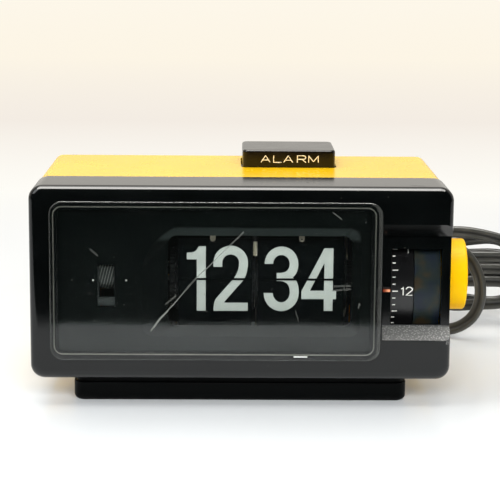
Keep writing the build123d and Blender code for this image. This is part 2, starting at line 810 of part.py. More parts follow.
def catch_finger(x, arm):
    """Spring strip hung from the front tie rod, its tip in the notch of the upper leaf."""
    with BuildPart() as catch:
        with BuildSketch(across(x - catch_width / 2)):
            with BuildLine():
                Polyline(
                    (leaf_front_y, leaf_top - catch_overlap),
                    (leaf_front_y, front_rod_z - catch_drop),
                    (front_rod_y - arm, front_rod_z - 1.0),
                    (front_rod_y - arm, front_rod_z + 2.0),
                    (front_rod_y, front_rod_z + 2.0),
                    (front_rod_y, front_rod_z + rod_radius),
                    (front_rod_y - arm + catch_thickness, front_rod_z + rod_radius),
                    (front_rod_y - arm + catch_thickness, front_rod_z - 1.0),
                    (leaf_front_y + catch_thickness, front_rod_z - catch_drop),
                    (leaf_front_y + catch_thickness, leaf_top - catch_overlap),
                    close=True,
                )
            make_face()
        extrude(amount=catch_width)
    return catch


hour_catch = catch_finger(hour_catch_x, rod_radius + catch_thickness)
minute_catch = catch_finger(minute_catch_x, rod_radius + catch_thickness)
export(hour_catch.part, "hour_catch")
export(minute_catch.part, "minute_catch")

lamp_radius = 0.95
lamp_top, lamp_bottom = case_mid_z + 15.0 * tall, case_mid_z + 8.4 * tall
lamp_x = (hour_leaf_right + minute_leaf_left) / 2
lamp_y = leaf_front_y + leaf_thickness / 2
lamp_arm = 1.2
with BuildPart() as glow_lamp:
    with BuildSketch(Plane.XY.offset(lamp_bottom)):
        with Locations((lamp_x, lamp_y)):
            Circle(lamp_radius)
    extrude(amount=lamp_top - lamp_bottom)
    fillet(glow_lamp.faces().sort_by(Axis.Z)[0].edges(), 0.6 * lamp_radius)
with BuildPart() as lamp_holder:
    with BuildSketch(Plane.XY.offset(lamp_top)):
        with Locations((lamp_x, lamp_y)):
            Rectangle(lamp_arm, lamp_arm)
    extrude(amount=front_rod_z + rod_radius + lamp_arm - lamp_top)
    with BuildSketch(Plane.XY.offset(front_rod_z + rod_radius)):
        with Locations((lamp_x, (lamp_y + front_rod_y) / 2)):
            Rectangle(lamp_arm, front_rod_y - lamp_y + lamp_arm)
    extrude(amount=lamp_arm)
export(glow_lamp.part, "glow_lamp")
export(lamp_holder.part, "lamp_holder")

# ---------------------------------------------------------------- alarm drum
drum_tube_end = drum_right - 1.5
clip_thickness = 0.8
drum_hub_left = plate_right_end + 1.0 + free_gap
drum_hub_right = drum_tube_end - clip_thickness - free_gap - 1.0
with BuildPart() as drum_axle:
    with BuildSketch(across(plate_right_x)):
        with Locations(set_axis):
            Circle(drum_tube_radius)
    extrude(amount=drum_tube_end - plate_right_x)
    with BuildSketch(across(plate_right_end)):
        with Locations(set_axis):
            Circle(drum_tube_radius + 3.0)
    extrude(amount=1.0)
    # spring clip that keeps the drum on
    with BuildSketch(across(drum_tube_end - clip_thickness)):
        with Locations(set_axis):
            Circle(drum_tube_radius + 1.6)
    extrude(amount=clip_thickness)
    with BuildSketch(across(plate_right_x - 1)):
        with Locations(set_axis):
            Circle(shaft_radius + running_gap)
    extrude(amount=drum_tube_end - plate_right_x + 2, mode=Mode.SUBTRACT)
with BuildPart() as alarm_dial:
    with BuildSketch(across(drum_left)):
        with Locations(set_axis):
            Circle(drum_radius)
            Circle(drum_radius - drum_rim, mode=Mode.SUBTRACT)
    extrude(amount=drum_split_x - drum_split_gap / 2 - drum_left)
    with BuildSketch(across(drum_split_x - drum_split_gap / 2 - drum_web)):
        with Locations(set_axis):
            Circle(drum_radius - drum_rim / 2)
    extrude(amount=drum_web)
    with BuildSketch(across(drum_hub_left)):
        with Locations(set_axis):
            Circle(drum_hub_radius)
    extrude(amount=drum_hub_right - drum_hub_left)
    # shoulder that the grip ring is pressed on
    with BuildSketch(across(drum_split_x - drum_split_gap / 2)):
        with Locations(set_axis):
            Circle(drum_radius - drum_rim)
            Circle(drum_radius - 2 * drum_rim, mode=Mode.SUBTRACT)
    extrude(amount=drum_split_gap + 3.0)
    with BuildSketch(across(drum_hub_left)):
        with Locations(set_axis):
            Circle(drum_tube_radius + running_gap)
    extrude(amount=drum_hub_right - drum_hub_left, mode=Mode.SUBTRACT)
with BuildPart() as alarm_grip:
    with BuildSketch(across(drum_split_x + drum_split_gap / 2)):
        with Locations(set_axis):
            Circle(drum_radius)
            Circle(drum_radius - drum_rim, mode=Mode.SUBTRACT)
    extrude(amount=drum_right - drum_split_x - drum_split_gap / 2)
cam_radius = 10.0
cam_thickness = 2.0
cam_x = drum_hub_left + 1.0
with BuildPart() as alarm_cam:
    with BuildSketch(across(cam_x)):
        with Locations(set_axis):
            Circle(cam_radius)
            Circle(drum_hub_radius, mode=Mode.SUBTRACT)
            with PolarLocations(cam_radius, 1, start_angle=200):
                Rectangle(3.0, 3.0, mode=Mode.SUBTRACT)
    extrude(amount=cam_thickness)
export(drum_axle.part, "drum_axle")
export(alarm_dial.part, "alarm_dial")
export(alarm_grip.part, "alarm_grip")
export(alarm_cam.part, "alarm_cam")

# lever that the cam lets drop at the set time, riveted to the right plate
lever_gap = 0.3
lever_width = 3.0
lever_z = set_axis_z + cam_radius + lever_gap
with BuildPart() as alarm_lever:
    with BuildSketch(across(cam_x)):
        with BuildLine():
            Polyline(
                (set_axis_y - 6, lever_z),
                (set_axis_y + 22, lever_z + 8),
                (set_axis_y + 22, lever_z + 8 + lever_width),
                (set_axis_y - 6, lever_z + lever_width),
                close=True,
            )
        make_face()
    extrude(amount=cam_thickness)
    with BuildSketch(across(plate_right_end)):
        with Locations((set_axis_y + 19, lever_z + 9)):
            Circle(1.5)
    extrude(amount=cam_x - plate_right_end)
export(alarm_lever.part, "alarm_lever")

pointer_width, pointer_height, pointer_thickness = 3.4, 2.1, 0.4
pointer_z = set_axis_z + 0.3
with BuildPart() as alarm_pointer:
    with BuildSketch(facing(front_y + recess_depth)):
        with Locations((recess_left + 0.3 + pointer_width / 2, pointer_z)):
            Rectangle(pointer_width, pointer_height)
    extrude(amount=pointer_thickness)
export(alarm_pointer.part, "alarm_pointer")

# ---------------------------------------------------------------- setting knob and shaft
knob_inner_x = case_width / 2 + knob_gap
knob_outer_x = knob_inner_x + knob_length
shaft_left_x = minute_gear_x + minute_gear_width - 2.1
pinion_width = 2.0
knob_bore_end = 2.0
with BuildPart() as time_knob:
    with BuildSketch(across(knob_inner_x)):
        with Locations(set_axis):
            Circle(knob_radius)
    extrude(amount=knob_length)
    fillet(time_knob.faces().sort_by(Axis.X)[-1].edges(), knob_edge)
    with BuildSketch(across(knob_inner_x)):
        with Locations(set_axis):
            Circle(knob_radius - 2.2)
            Circle(shaft_radius + 2.2, mode=Mode.SUBTRACT)
    extrude(amount=knob_length - 3.0, mode=Mode.SUBTRACT)
    with BuildSketch(across(knob_inner_x)):
        with Locations(set_axis):
            Circle(shaft_radius)
    extrude(amount=knob_length - knob_bore_end, mode=Mode.SUBTRACT)
with BuildPart() as knob_shaft:
    with BuildSketch(across(shaft_left_x)):
        with Locations(set_axis):
            Circle(shaft_radius)
    extrude(amount=knob_outer_x - knob_bore_end - shaft_left_x)
with BuildPart() as knob_pinion:
    with BuildSketch(across(shaft_left_x)):
        with Locations(set_axis):
            toothed_outline(pinion_gear_radius, pinion_teeth)
            Circle(shaft_radius, mode=Mode.SUBTRACT)
    extrude(amount=pinion_width)
export(time_knob.part, "time_knob")
export(knob_shaft.part, "knob_shaft")
export(knob_pinion.part, "knob_pinion")

# ---------------------------------------------------------------- drive
lay_gear_width = 1.2
lay_left_x = plate_left_x - 4.0
lay_drive_radius = 10.0
lay_drive_width = 1.6
motor_pinion_radius = 3.0
motor_axis_y = lay_axis_y - lay_drive_radius - motor_pinion_radius - mesh_gap
motor_axis = (motor_axis_y, flap_axis_z)
motor_radius = 19.0
motor_length = 20.0
motor_right_x = lay_left_x - 2.0
pulley_radius = 2.4
roller_axis = (front_y + 14.2, case_mid_z + 2.2 * tall)
roller_radius = 7.0
belt_thickness = 0.8
belt_width = 1.0

for plate in (chassis_left, chassis_right):
    with plate:
        with BuildSketch(across(plate_left_x - 1)):
            with Locations(lay_axis):
                Circle(lay_radius + running_gap)
        extrude(amount=plate_right_end - plate_left_x + 2, mode=Mode.SUBTRACT)
with BuildPart() as lay_shaft:
    with BuildSketch(across(lay_left_x)):
        with Locations(lay_axis):
            Circle(lay_radius)
    extrude(amount=plate_right_end + 1 - lay_left_x)
    with BuildSketch(across(lay_left_x)):
        with Locations(lay_axis):
            toothed_outline(lay_drive_radius, 40)
    extrude(amount=lay_drive_width)
with BuildPart() as lay_gear:
    with BuildSketch(across(minute_gear_x + 0.1)):
        with Locations(lay_axis):
            toothed_outline(lay_gear_radius, lay_teeth)
            Circle(lay_radius, mode=Mode.SUBTRACT)
            with PolarLocations(lay_gear_radius * 0.55, 5):
                Circle(lay_gear_radius * 0.2, mode=Mode.SUBTRACT)
    extrude(amount=lay_gear_width)
export(chassis_left.part, "chassis_left")
export(chassis_right.part, "chassis_right")
export(lay_shaft.part, "lay_shaft")
export(lay_gear.part, "lay_gear")

motor_shaft_radius = 0.9
bush_depth = 4.0
with BuildPart() as motor_can:
    with BuildSketch(across(motor_right_x - motor_length)):
        with Locations(motor_axis):
            Circle(motor_radius)
    extrude(amount=motor_length)
    fillet(motor_can.faces().sort_by(Axis.X)[0].edges(), 1.5)
    with BuildSketch(across(motor_right_x - bush_depth)):
        with Locations(motor_axis):
            Circle(motor_shaft_radius + running_gap)
    extrude(amount=bush_depth + 1, mode=Mode.SUBTRACT)
motor_ear = 8.0
with BuildPart() as motor_mount:
    with BuildSketch(across(motor_right_x)):
        with Locations((motor_axis_y, flap_axis_z)):
            Rectangle(10, 2 * (motor_radius + motor_ear))
            Circle(motor_pinion_radius + 3, mode=Mode.SUBTRACT)
    extrude(amount=plate_thickness)
    with BuildSketch(across(motor_right_x + plate_thickness)):
        with Locations((0, flap_axis_z)):
            with Locations((motor_axis_y, motor_radius + motor_ear / 2),
                           (motor_axis_y, -motor_radius - motor_ear / 2)):
                Circle(2.0)
    extrude(amount=plate_left_x - motor_right_x - plate_thickness)
with BuildPart() as motor_pinion:
    with BuildSketch(across(motor_right_x - 3.5)):
        with Locations(motor_axis):
            Circle(motor_shaft_radius)
    extrude(amount=lay_left_x + 3.4 - motor_right_x + 3.5)
    with BuildSketch(across(lay_left_x)):
        with Locations(motor_axis):
            toothed_outline(motor_pinion_radius, 12)
    extrude(amount=1.6)
    with BuildSketch(across(lay_left_x + 1.9)):
        with Locations(motor_axis):
            Circle(pulley_radius)
    extrude(amount=belt_width + 0.4)
export(motor_can.part, "motor_can")
export(motor_mount.part, "motor_mount")
export(motor_pinion.part, "motor_pinion")

# ---------------------------------------------------------------- running indicator
belt_x = lay_left_x + 2.1
roller_left = indicator_left + 0.6
roller_right = indicator_right - 0.6
with BuildPart() as indicator_roller:
    with BuildSketch(across(roller_left)):
        with Locations(roller_axis):
            Circle(roller_radius)
    extrude(amount=roller_right - roller_left)
with BuildPart() as roller_axle:
    with BuildSketch(across(roller_left - 2.0)):
        with Locations(roller_axis):
            Circle(1.0)
    extrude(amount=2.0)
    with BuildSketch(across(roller_right)):
        with Locations(roller_axis):
            Circle(1.0)
    extrude(amount=belt_x + belt_width + 0.2 - roller_right)
    with BuildSketch(across(belt_x - 0.2)):
        with Locations(roller_axis):
            Circle(pulley_radius)
    extrude(amount=belt_width + 0.4)
belt_run = sqrt((motor_axis[0] - roller_axis[0]) ** 2 + (motor_axis[1] - roller_axis[1]) ** 2)
belt_tilt = degrees(asin((motor_axis[1] - roller_axis[1]) / belt_run))
with BuildPart() as drive_belt:
    with BuildSketch(across(belt_x)):
        with Locations(
            Location(
                (
                    (motor_axis[0] + roller_axis[0]) / 2,
                    (motor_axis[1] + roller_axis[1]) / 2,
                ),
                belt_tilt,
            )
        ):
            SlotCenterToCenter(belt_run, 2 * (pulley_radius + mesh_gap + belt_thickness))
            SlotCenterToCenter(
                belt_run, 2 * (pulley_radius + mesh_gap), mode=Mode.SUBTRACT
            )
    extrude(amount=belt_width)
# bracket behind the mask: two cheeks, a bridge, and the block seen under the roller
cheek = 1.2
cheek_bottom = indicator_bottom - 2.0
cheek_top = roller_axis[1] + 3.8
bridge_y = roller_axis[0] + 3.0
bridge_height = 3.0
block_depth, block_height, block_lift = 2.0, 3.6, 2.0
with BuildPart() as roller_bracket:
    for x in (roller_left - free_gap - cheek, roller_right + free_gap):
        with BuildSketch(across(x)):
            with Locations(((mask_back_y + bridge_y) / 2, (cheek_bottom + cheek_top) / 2)):
                Rectangle(bridge_y - mask_back_y, cheek_top - cheek_bottom)
            with Locations(roller_axis):
                Circle(1.0 + running_gap, mode=Mode.SUBTRACT)
        extrude(amount=cheek)
    with BuildSketch(across(roller_left - free_gap - cheek)):
        with Locations((bridge_y + cheek / 2, cheek_bottom + bridge_height / 2)):
            Rectangle(cheek, bridge_height)
        with Locations((mask_back_y + block_depth / 2, indicator_bottom + block_lift)):
            Rectangle(block_depth, block_height)
    extrude(amount=roller_right - roller_left + 2 * (free_gap + cheek))
export(indicator_roller.part, "indicator_roller")
export(roller_axle.part, "roller_axle")
export(drive_belt.part, "drive_belt")
export(roller_bracket.part, "roller_bracket")

# ---------------------------------------------------------------- buzzer
buzzer_x, buzzer_y = left_x + 20.0, back_y - 26.0
coil_radius, coil_height = 8.0, 16.0
core_radius, core_proud = 2.5, 1.0
buzzer_length, buzzer_depth, buzzer_sheet = 24.0, 20.0, 1.5
buzzer_arm = 14.0           # width of the upright arm that carries the reed
reed_width, reed_thickness, reed_rise = 10.0, 0.8, 3.0
coil_floor = body_floor + buzzer_sheet
with BuildPart() as buzzer_bracket:
    with BuildSketch(Plane.XY.offset(body_floor)):
        with Locations((buzzer_x, buzzer_y)):
            Rectangle(buzzer_length, buzzer_depth)
    extrude(amount=buzzer_sheet)
    with BuildSketch(Plane.XY.offset(coil_floor)):
        with Locations((buzzer_x - (buzzer_length - buzzer_sheet) / 2, buzzer_y)):
            Rectangle(buzzer_sheet, buzzer_arm)
    extrude(amount=coil_height + reed_rise)
with BuildPart() as buzzer_coil:
    with BuildSketch(Plane.XY.offset(coil_floor)):
        with Locations((buzzer_x, buzzer_y)):
            Circle(coil_radius)
    extrude(amount=coil_height)
    with BuildSketch(Plane.XY.offset(coil_floor + coil_height)):
        with Locations((buzzer_x, buzzer_y)):
            Circle(core_radius)
    extrude(amount=core_proud)
reed_z = coil_floor + coil_height + reed_rise
with BuildPart() as buzzer_reed:
    with BuildSketch(facing(buzzer_y - reed_width / 2)):
        with Locations((buzzer_x, reed_z + reed_thickness / 2 + 0.1)):
            Rectangle(buzzer_length, reed_thickness)
    extrude(amount=-reed_width)
export(buzzer_bracket.part, "buzzer_bracket")
export(buzzer_coil.part, "buzzer_coil")
export(buzzer_reed.part, "buzzer_reed")

# ---------------------------------------------------------------- alarm button
flange_top_z = body_ceiling - free_gap
flange_bottom_z = flange_top_z - button_flange_thickness
button_top_z = body_top + button_proud
guide_floor_z = flange_bottom_z - button_stroke - 2.6
guide_half_x = button_width / 2 + button_flange + free_gap + guide_wall
guide_half_y = button_length / 2 + button_flange + free_gap + guide_wall
with BuildPart() as alarm_button:
    with BuildSketch(Plane.XY.offset(flange_bottom_z)):
        with Locations((button_mid_x, button_mid_y)):
            RectangleRounded(button_width, button_length, button_corner)
    extrude(amount=button_top_z - flange_bottom_z)
    fillet(alarm_button.faces().sort_by(Axis.Z)[-1].edges(), button_edge)
    with BuildSketch(Plane.XY.offset(flange_bottom_z)):
        with Locations((button_mid_x, button_mid_y)):
            RectangleRounded(
                button_width + 2 * button_flange,
                button_length + 2 * button_flange,
                button_corner + button_flange,
            )
    extrude(amount=button_flange_thickness)
    with BuildSketch(Plane.XY.offset(flange_bottom_z)):
        with Locations((button_mid_x, button_mid_y)):
            RectangleRounded(
                button_width - 2 * button_wall,
                button_length - 2 * button_wall,
                button_corner - button_wall,
            )
    extrude(amount=button_top_z - button_wall - flange_bottom_z, mode=Mode.SUBTRACT)
spring_x = button_width / 2 - button_wall - spring_radius - 2.0
spring_places = [(button_mid_x - spring_x, button_mid_y), (button_mid_x + spring_x, button_mid_y)]
with BuildPart() as button_guide:
    with BuildSketch(Plane.XY.offset(guide_floor_z)):
        with Locations((button_mid_x, button_mid_y)):
            Rectangle(2 * guide_half_x, 2 * guide_half_y)
    extrude(amount=body_ceiling - guide_floor_z)
    with BuildSketch(Plane.XY.offset(guide_floor_z + guide_wall)):
        with Locations((button_mid_x, button_mid_y)):
            Rectangle(2 * (guide_half_x - guide_wall), 2 * (guide_half_y - guide_wall))
    extrude(amount=body_ceiling - guide_floor_z, mode=Mode.SUBTRACT)
    with BuildSketch(Plane.XY.offset(guide_floor_z + guide_wall)):
        with Locations(*spring_places):
            Circle(spring_radius - spring_wire - 0.3)
    extrude(amount=3.0)
    with BuildSketch(Plane.XY.offset(guide_floor_z)):
        with Locations((button_mid_x, button_mid_y)):
            Rectangle(6.0, 8.0)
    extrude(amount=guide_wall + 1, mode=Mode.SUBTRACT)
spring_bottom = guide_floor_z + guide_wall
spring_length = button_top_z - button_wall - spring_bottom
with BuildPart() as button_springs:
    for place in spring_places:
        with BuildSketch(Plane.XY.offset(spring_bottom)):
            with Locations(place):
                Circle(spring_radius)
                Circle(spring_radius - spring_wire, mode=Mode.SUBTRACT)
        extrude(amount=spring_length)
export(alarm_button.part, "alarm_button")
export(button_guide.part, "button_guide")
export(button_springs.part, "button_springs")

switch_size = (12.0, 6.0, 6.5)
with BuildPart() as alarm_switch:
    with BuildSketch(Plane.XY.offset(guide_floor_z - switch_size[2])):
        with Locations((button_mid_x, button_mid_y)):
            Rectangle(switch_size[0], switch_size[1] + 6)
    extrude(amount=switch_size[2])
    with BuildSketch(Plane.XY.offset(guide_floor_z)):
        with Locations((button_mid_x, button_mid_y)):
            Rectangle(3.0, 4.0)
    extrude(amount=guide_wall + 0.5)
export(alarm_switch.part, "alarm_switch")

# ---------------------------------------------------------------- screws
screw_head_height = 1.8
with BuildPart() as case_screws:
    with BuildSketch(facing(bezel_back_y + screw_head_depth)):
        with Locations(*post_places):
            Circle(screw_head_radius - 0.2)
    extrude(amount=-screw_head_height)
    with BuildSketch(facing(bezel_back_y + screw_head_depth)):
        with Locations(*post_places):
            Circle(post_bore)
    extrude(amount=screw_head_depth + post_bore_depth - 1)
    with BuildSketch(facing(bezel_back_y + screw_head_depth + screw_head_height)):
        with Locations(*post_places):
            Rectangle(2 * screw_head_radius, 0.6)
    extrude(amount=0.8, mode=Mode.SUBTRACT)
with BuildPart() as plinth_fixings:
    with BuildSketch(Plane.XY.offset(plinth_head_depth - screw_head_height)):
        with Locations(*plinth_screws):
            Circle(plinth_screw_head - 0.5)
    extrude(amount=screw_head_height)
    with BuildSketch(Plane.XY.offset(plinth_head_depth)):
        with Locations(*plinth_screws):
            Circle(plinth_screw_shank - 0.3)
    extrude(amount=plate_bottom + plate_thickness - plinth_head_depth)
    with BuildSketch(Plane.XY.offset(plinth_head_depth - screw_head_height)):
        with Locations(*plinth_screws):
            Rectangle(2 * plinth_screw_head, 0.7)
    extrude(amount=0.8, mode=Mode.SUBTRACT)
with rear_case:
    with BuildSketch(Plane.XY.offset(body_bottom - 0.5)):
        with Locations(*plinth_screws):
            Circle(plinth_screw_shank)
    extrude(amount=body_wall + 1, mode=Mode.SUBTRACT)
export(rear_case.part, "rear_case")
export(case_screws.part, "case_screws")
export(plinth_fixings.part, "plinth_fixings")

# ---------------------------------------------------------------- cord
boot_length = 22.0
boot_root_radius, boot_tip_radius = 5.4, 3.9
boot_flange_radius = 6.4
boot_flange_thickness = 2.0
exit_point = (cord_exit_x, cord_exit_z)
cord_radius = cord_diameter / 2
with BuildPart() as cord_boot:
    with BuildSketch(facing(back_y - body_wall)):
        with Locations(exit_point):
            Circle(grommet_hole)
    extrude(amount=-body_wall)
    with BuildSketch(facing(back_y - body_wall)):
        with Locations(exit_point):
            Circle(boot_flange_radius)
    extrude(amount=boot_flange_thickness)
    with BuildSketch(facing(back_y)):
        with Locations(exit_point):
            Circle(boot_root_radius)
    with BuildSketch(facing(back_y + boot_length)):
        with Locations(exit_point):
            Circle(boot_tip_radius)
    loft()
export(cord_boot.part, "cord_boot")

boot_end_y = back_y + boot_length
cord_route = [
    (cord_exit_x, boot_end_y, cord_exit_z),
    (58.5, boot_end_y + 17.0, 24.5),
    (69.0, 107.5, 17.0),
    (85.4, 109.0, 9.5),
    (99.0, 97.5, 5.0),
    (106.9, 81.0, 3.3),
    (119.5, 72.0, 13.6),
    (121.0, 68.5, 32.0),
    (111.0, 71.5, 47.5),
    (94.5, 79.0, 51.5),
    (82.0, 90.0, 49.5),
    (82.0, 106.0, 46.0),
    (96.0, 114.0, 43.0),
    (112.0, 117.0, 38.0),
]
tail_route = [
    (204.0, 130.0, 18.0),
    (222.0, 126.5, 10.5),
    (236.0, 114.0, 6.0),
    (241.0, 98.0, 5.5),
    (236.0, 82.0, 5.5),
]


def corner_radii(route):
    """Largest arc that each corner of a route leaves room for."""
    points = [Vector(*point) for point in route]
    radii = []
    for before, corner, after in zip(points, points[1:], points[2:]):
        turn = (corner - before).get_angle(after - corner)
        shorter = min((corner - before).length, (after - corner).length)
        radii.append(0.45 * shorter / tan(radians(turn / 2)))
    return radii


def cord_tube(route):
    """Plain tube of the cord's width along straight runs joined by tangent arcs."""
    radii = corner_radii(route)
    with BuildPart() as tube:
        with BuildLine():
            path = FilletPolyline(*route, radius=radii)
        with BuildSketch(Plane(path @ 0, z_dir=path % 0)):
            Circle(cord_radius)
        sweep()
    length = path.length
    print("cord radii:", *(f"{radius:.1f}" for radius in radii))
    print(f"cord length {length:.1f}, volume ratio",
          f"{tube.part.volume / (length * pi * cord_radius**2):.4f}")
    return tube


mains_cord = cord_tube(cord_route)
cord_tail = cord_tube(tail_route)
export(mains_cord.part, "mains_cord")
export(cord_tail.part, "cord_tail")

# the rest of the cord, folded to and fro and tied round its middle
hank_left, hank_right = 98.0, 216.0
hank_y = 126.0
tie_x = 162.0
tie_width = 6.0
waist_width, waist_height, waist_z = 18.0, 22.0, 22.3
# along the hank, and its width, height and middle height there
hank_sections = (
    (hank_left, 34.0, 30.0, 29.0),
    (hank_left + 14.0, 43.0, 42.0, 28.0),
    (tie_x - 22.0, 42.0, 46.0, 23.5),
    (tie_x - tie_width / 2, waist_width, waist_height, waist_z),
    (tie_x + tie_width / 2, waist_width, waist_height, waist_z),
    (tie_x + 20.0, 42.0, 34.0, 17.5),
    (hank_right - 16.0, 43.0, 35.0, 17.6),
    (hank_right, 28.0, 30.0, 17.0),
)
hank_rounding = 0.4         # corner radius, as a share of the smaller side
with BuildPart() as cord_hank:
    for x, width, height, z in hank_sections:
        with BuildSketch(across(x)):
            with Locations((hank_y, z)):
                RectangleRounded(width, height, hank_rounding * min(width, height))
    loft(ruled=True)
tie_thickness = 1.0
waist_rounding = hank_rounding * waist_width
with BuildPart() as hank_tie:
    with BuildSketch(across(tie_x - tie_width / 2)):
        with Locations((hank_y, waist_z)):
            RectangleRounded(
                waist_width + 2 * tie_thickness, waist_height + 2 * tie_thickness,
                waist_rounding + tie_thickness,
            )
            RectangleRounded(waist_width, waist_height, waist_rounding, mode=Mode.SUBTRACT)
    extrude(amount=tie_width)
export(cord_hank.part, "cord_hank")
export(hank_tie.part, "hank_tie")

# ---------------------------------------------------------------- plug
plug_length, plug_width, plug_height = 30.0, 23.0, 11.0
plug_grip = 12.0
blade_length, blade_width, blade_thickness, blade_pitch = 17.5, 6.3, 1.5, 12.7
tail_end = Vector(*tail_route[-1])
tail_heading = tail_end - Vector(*tail_route[-2])
plug_plane = Plane(tail_end, x_dir=tail_heading.cross(Vector(0, 0, 1)), z_dir=tail_heading)
with BuildPart() as plug_body:
    with BuildSketch(plug_plane):
        RectangleRounded(8.0, 8.0, 3.0)
    with BuildSketch(plug_plane.offset(plug_grip)):
        RectangleRounded(plug_width, plug_height - 1, 3.0)
    loft()
    with BuildSketch(plug_plane.offset(plug_grip)):
        RectangleRounded(plug_width, plug_height, 3.0)
    extrude(amount=plug_length - plug_grip)
    fillet(plug_body.faces().sort_by(Axis(tail_end, tail_heading))[-1].edges(), 1.0)
with BuildPart() as plug_blades:
    with BuildSketch(plug_plane.offset(plug_length)):
        with GridLocations(blade_pitch, 0, 2, 1):
            Rectangle(blade_thickness, blade_width)
    extrude(amount=blade_length)
export(plug_body.part, "plug_body")
export(plug_blades.part, "plug_blades")
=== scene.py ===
from math import cos, pi, radians, sin

import bmesh
import bpy
from mathutils import Matrix, Vector


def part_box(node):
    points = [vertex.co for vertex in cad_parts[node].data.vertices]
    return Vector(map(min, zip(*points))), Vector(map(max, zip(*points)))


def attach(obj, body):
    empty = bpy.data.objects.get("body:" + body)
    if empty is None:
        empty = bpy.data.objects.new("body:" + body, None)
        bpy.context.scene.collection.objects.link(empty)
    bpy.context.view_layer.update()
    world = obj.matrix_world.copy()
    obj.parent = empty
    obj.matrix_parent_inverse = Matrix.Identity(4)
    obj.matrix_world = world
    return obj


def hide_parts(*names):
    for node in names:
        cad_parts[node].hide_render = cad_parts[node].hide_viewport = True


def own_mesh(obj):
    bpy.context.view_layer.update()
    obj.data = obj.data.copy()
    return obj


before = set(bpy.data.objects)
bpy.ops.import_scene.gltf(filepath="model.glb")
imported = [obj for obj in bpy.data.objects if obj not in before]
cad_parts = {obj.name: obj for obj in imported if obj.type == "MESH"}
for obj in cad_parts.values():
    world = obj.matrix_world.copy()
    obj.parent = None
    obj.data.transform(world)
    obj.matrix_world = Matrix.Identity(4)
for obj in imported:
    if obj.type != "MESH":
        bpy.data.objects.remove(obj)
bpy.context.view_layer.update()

MM = 0.001
scene = bpy.context.scene
bpy.ops.object.select_all(action="DESELECT")

# ---------------------------------------------------------------- view
# A person at a table sees the clock from just above its front, a long arm's reach away.
# The camera stands there, level but for a half-degree lean, with a lens that fills the
# square frame with the front shell.
eye_place, eye_turn, eye_drop, eye_lean = (-0.005862, -0.78431, 0.20255), -0.752, 10.399, 0.437
eye = bpy.data.cameras.new("eye")
eye.lens, eye.sensor_width = 126.03, 36.0
camera = bpy.data.objects.new("eye", eye)
camera.matrix_world = (
    Matrix.Translation(eye_place)
    @ Matrix.Rotation(radians(eye_turn), 4, "Z")
    @ Matrix.Rotation(radians(90 - eye_drop), 4, "X")
    @ Matrix.Rotation(radians(eye_lean), 4, "Z")
)
scene.collection.objects.link(camera)
scene.camera = camera
scene.view_settings.view_transform = "Standard"

# ---------------------------------------------------------------- table, room and light
# A white table that runs far back behind the clock, where it fades to cream, and ends a
# short way in front of it. The room in front is dim, so the black front mirrors little.
class Wire:
    """A value in a material. Arithmetic on it adds Math nodes."""

    def __init__(self, finish, socket):
        self.finish, self.socket = finish, socket

    def math(self, operation, *values):
        return self.finish.node("Math", {"operation": operation}, dict(enumerate(values)))

    def __add__(self, other):
        return self.math("ADD", self, other)

    def __radd__(self, other):
        return self.math("ADD", other, self)

    def __sub__(self, other):
        return self.math("SUBTRACT", self, other)

    def __rsub__(self, other):
        return self.math("SUBTRACT", other, self)

    def __mul__(self, other):
        return self.math("MULTIPLY", self, other)

    def __rmul__(self, other):
        return self.math("MULTIPLY", other, self)

    def __pow__(self, other):
        return self.math("POWER", self, other)

    def __gt__(self, other):
        return self.math("GREATER_THAN", self, other)

    def __lt__(self, other):
        return self.math("LESS_THAN", self, other)

    def __abs__(self):
        return self.math("ABSOLUTE", self)

    def most(self, other):
        return self.math("MAXIMUM", self, other)

    def least(self, other):
        return self.math("MINIMUM", self, other)


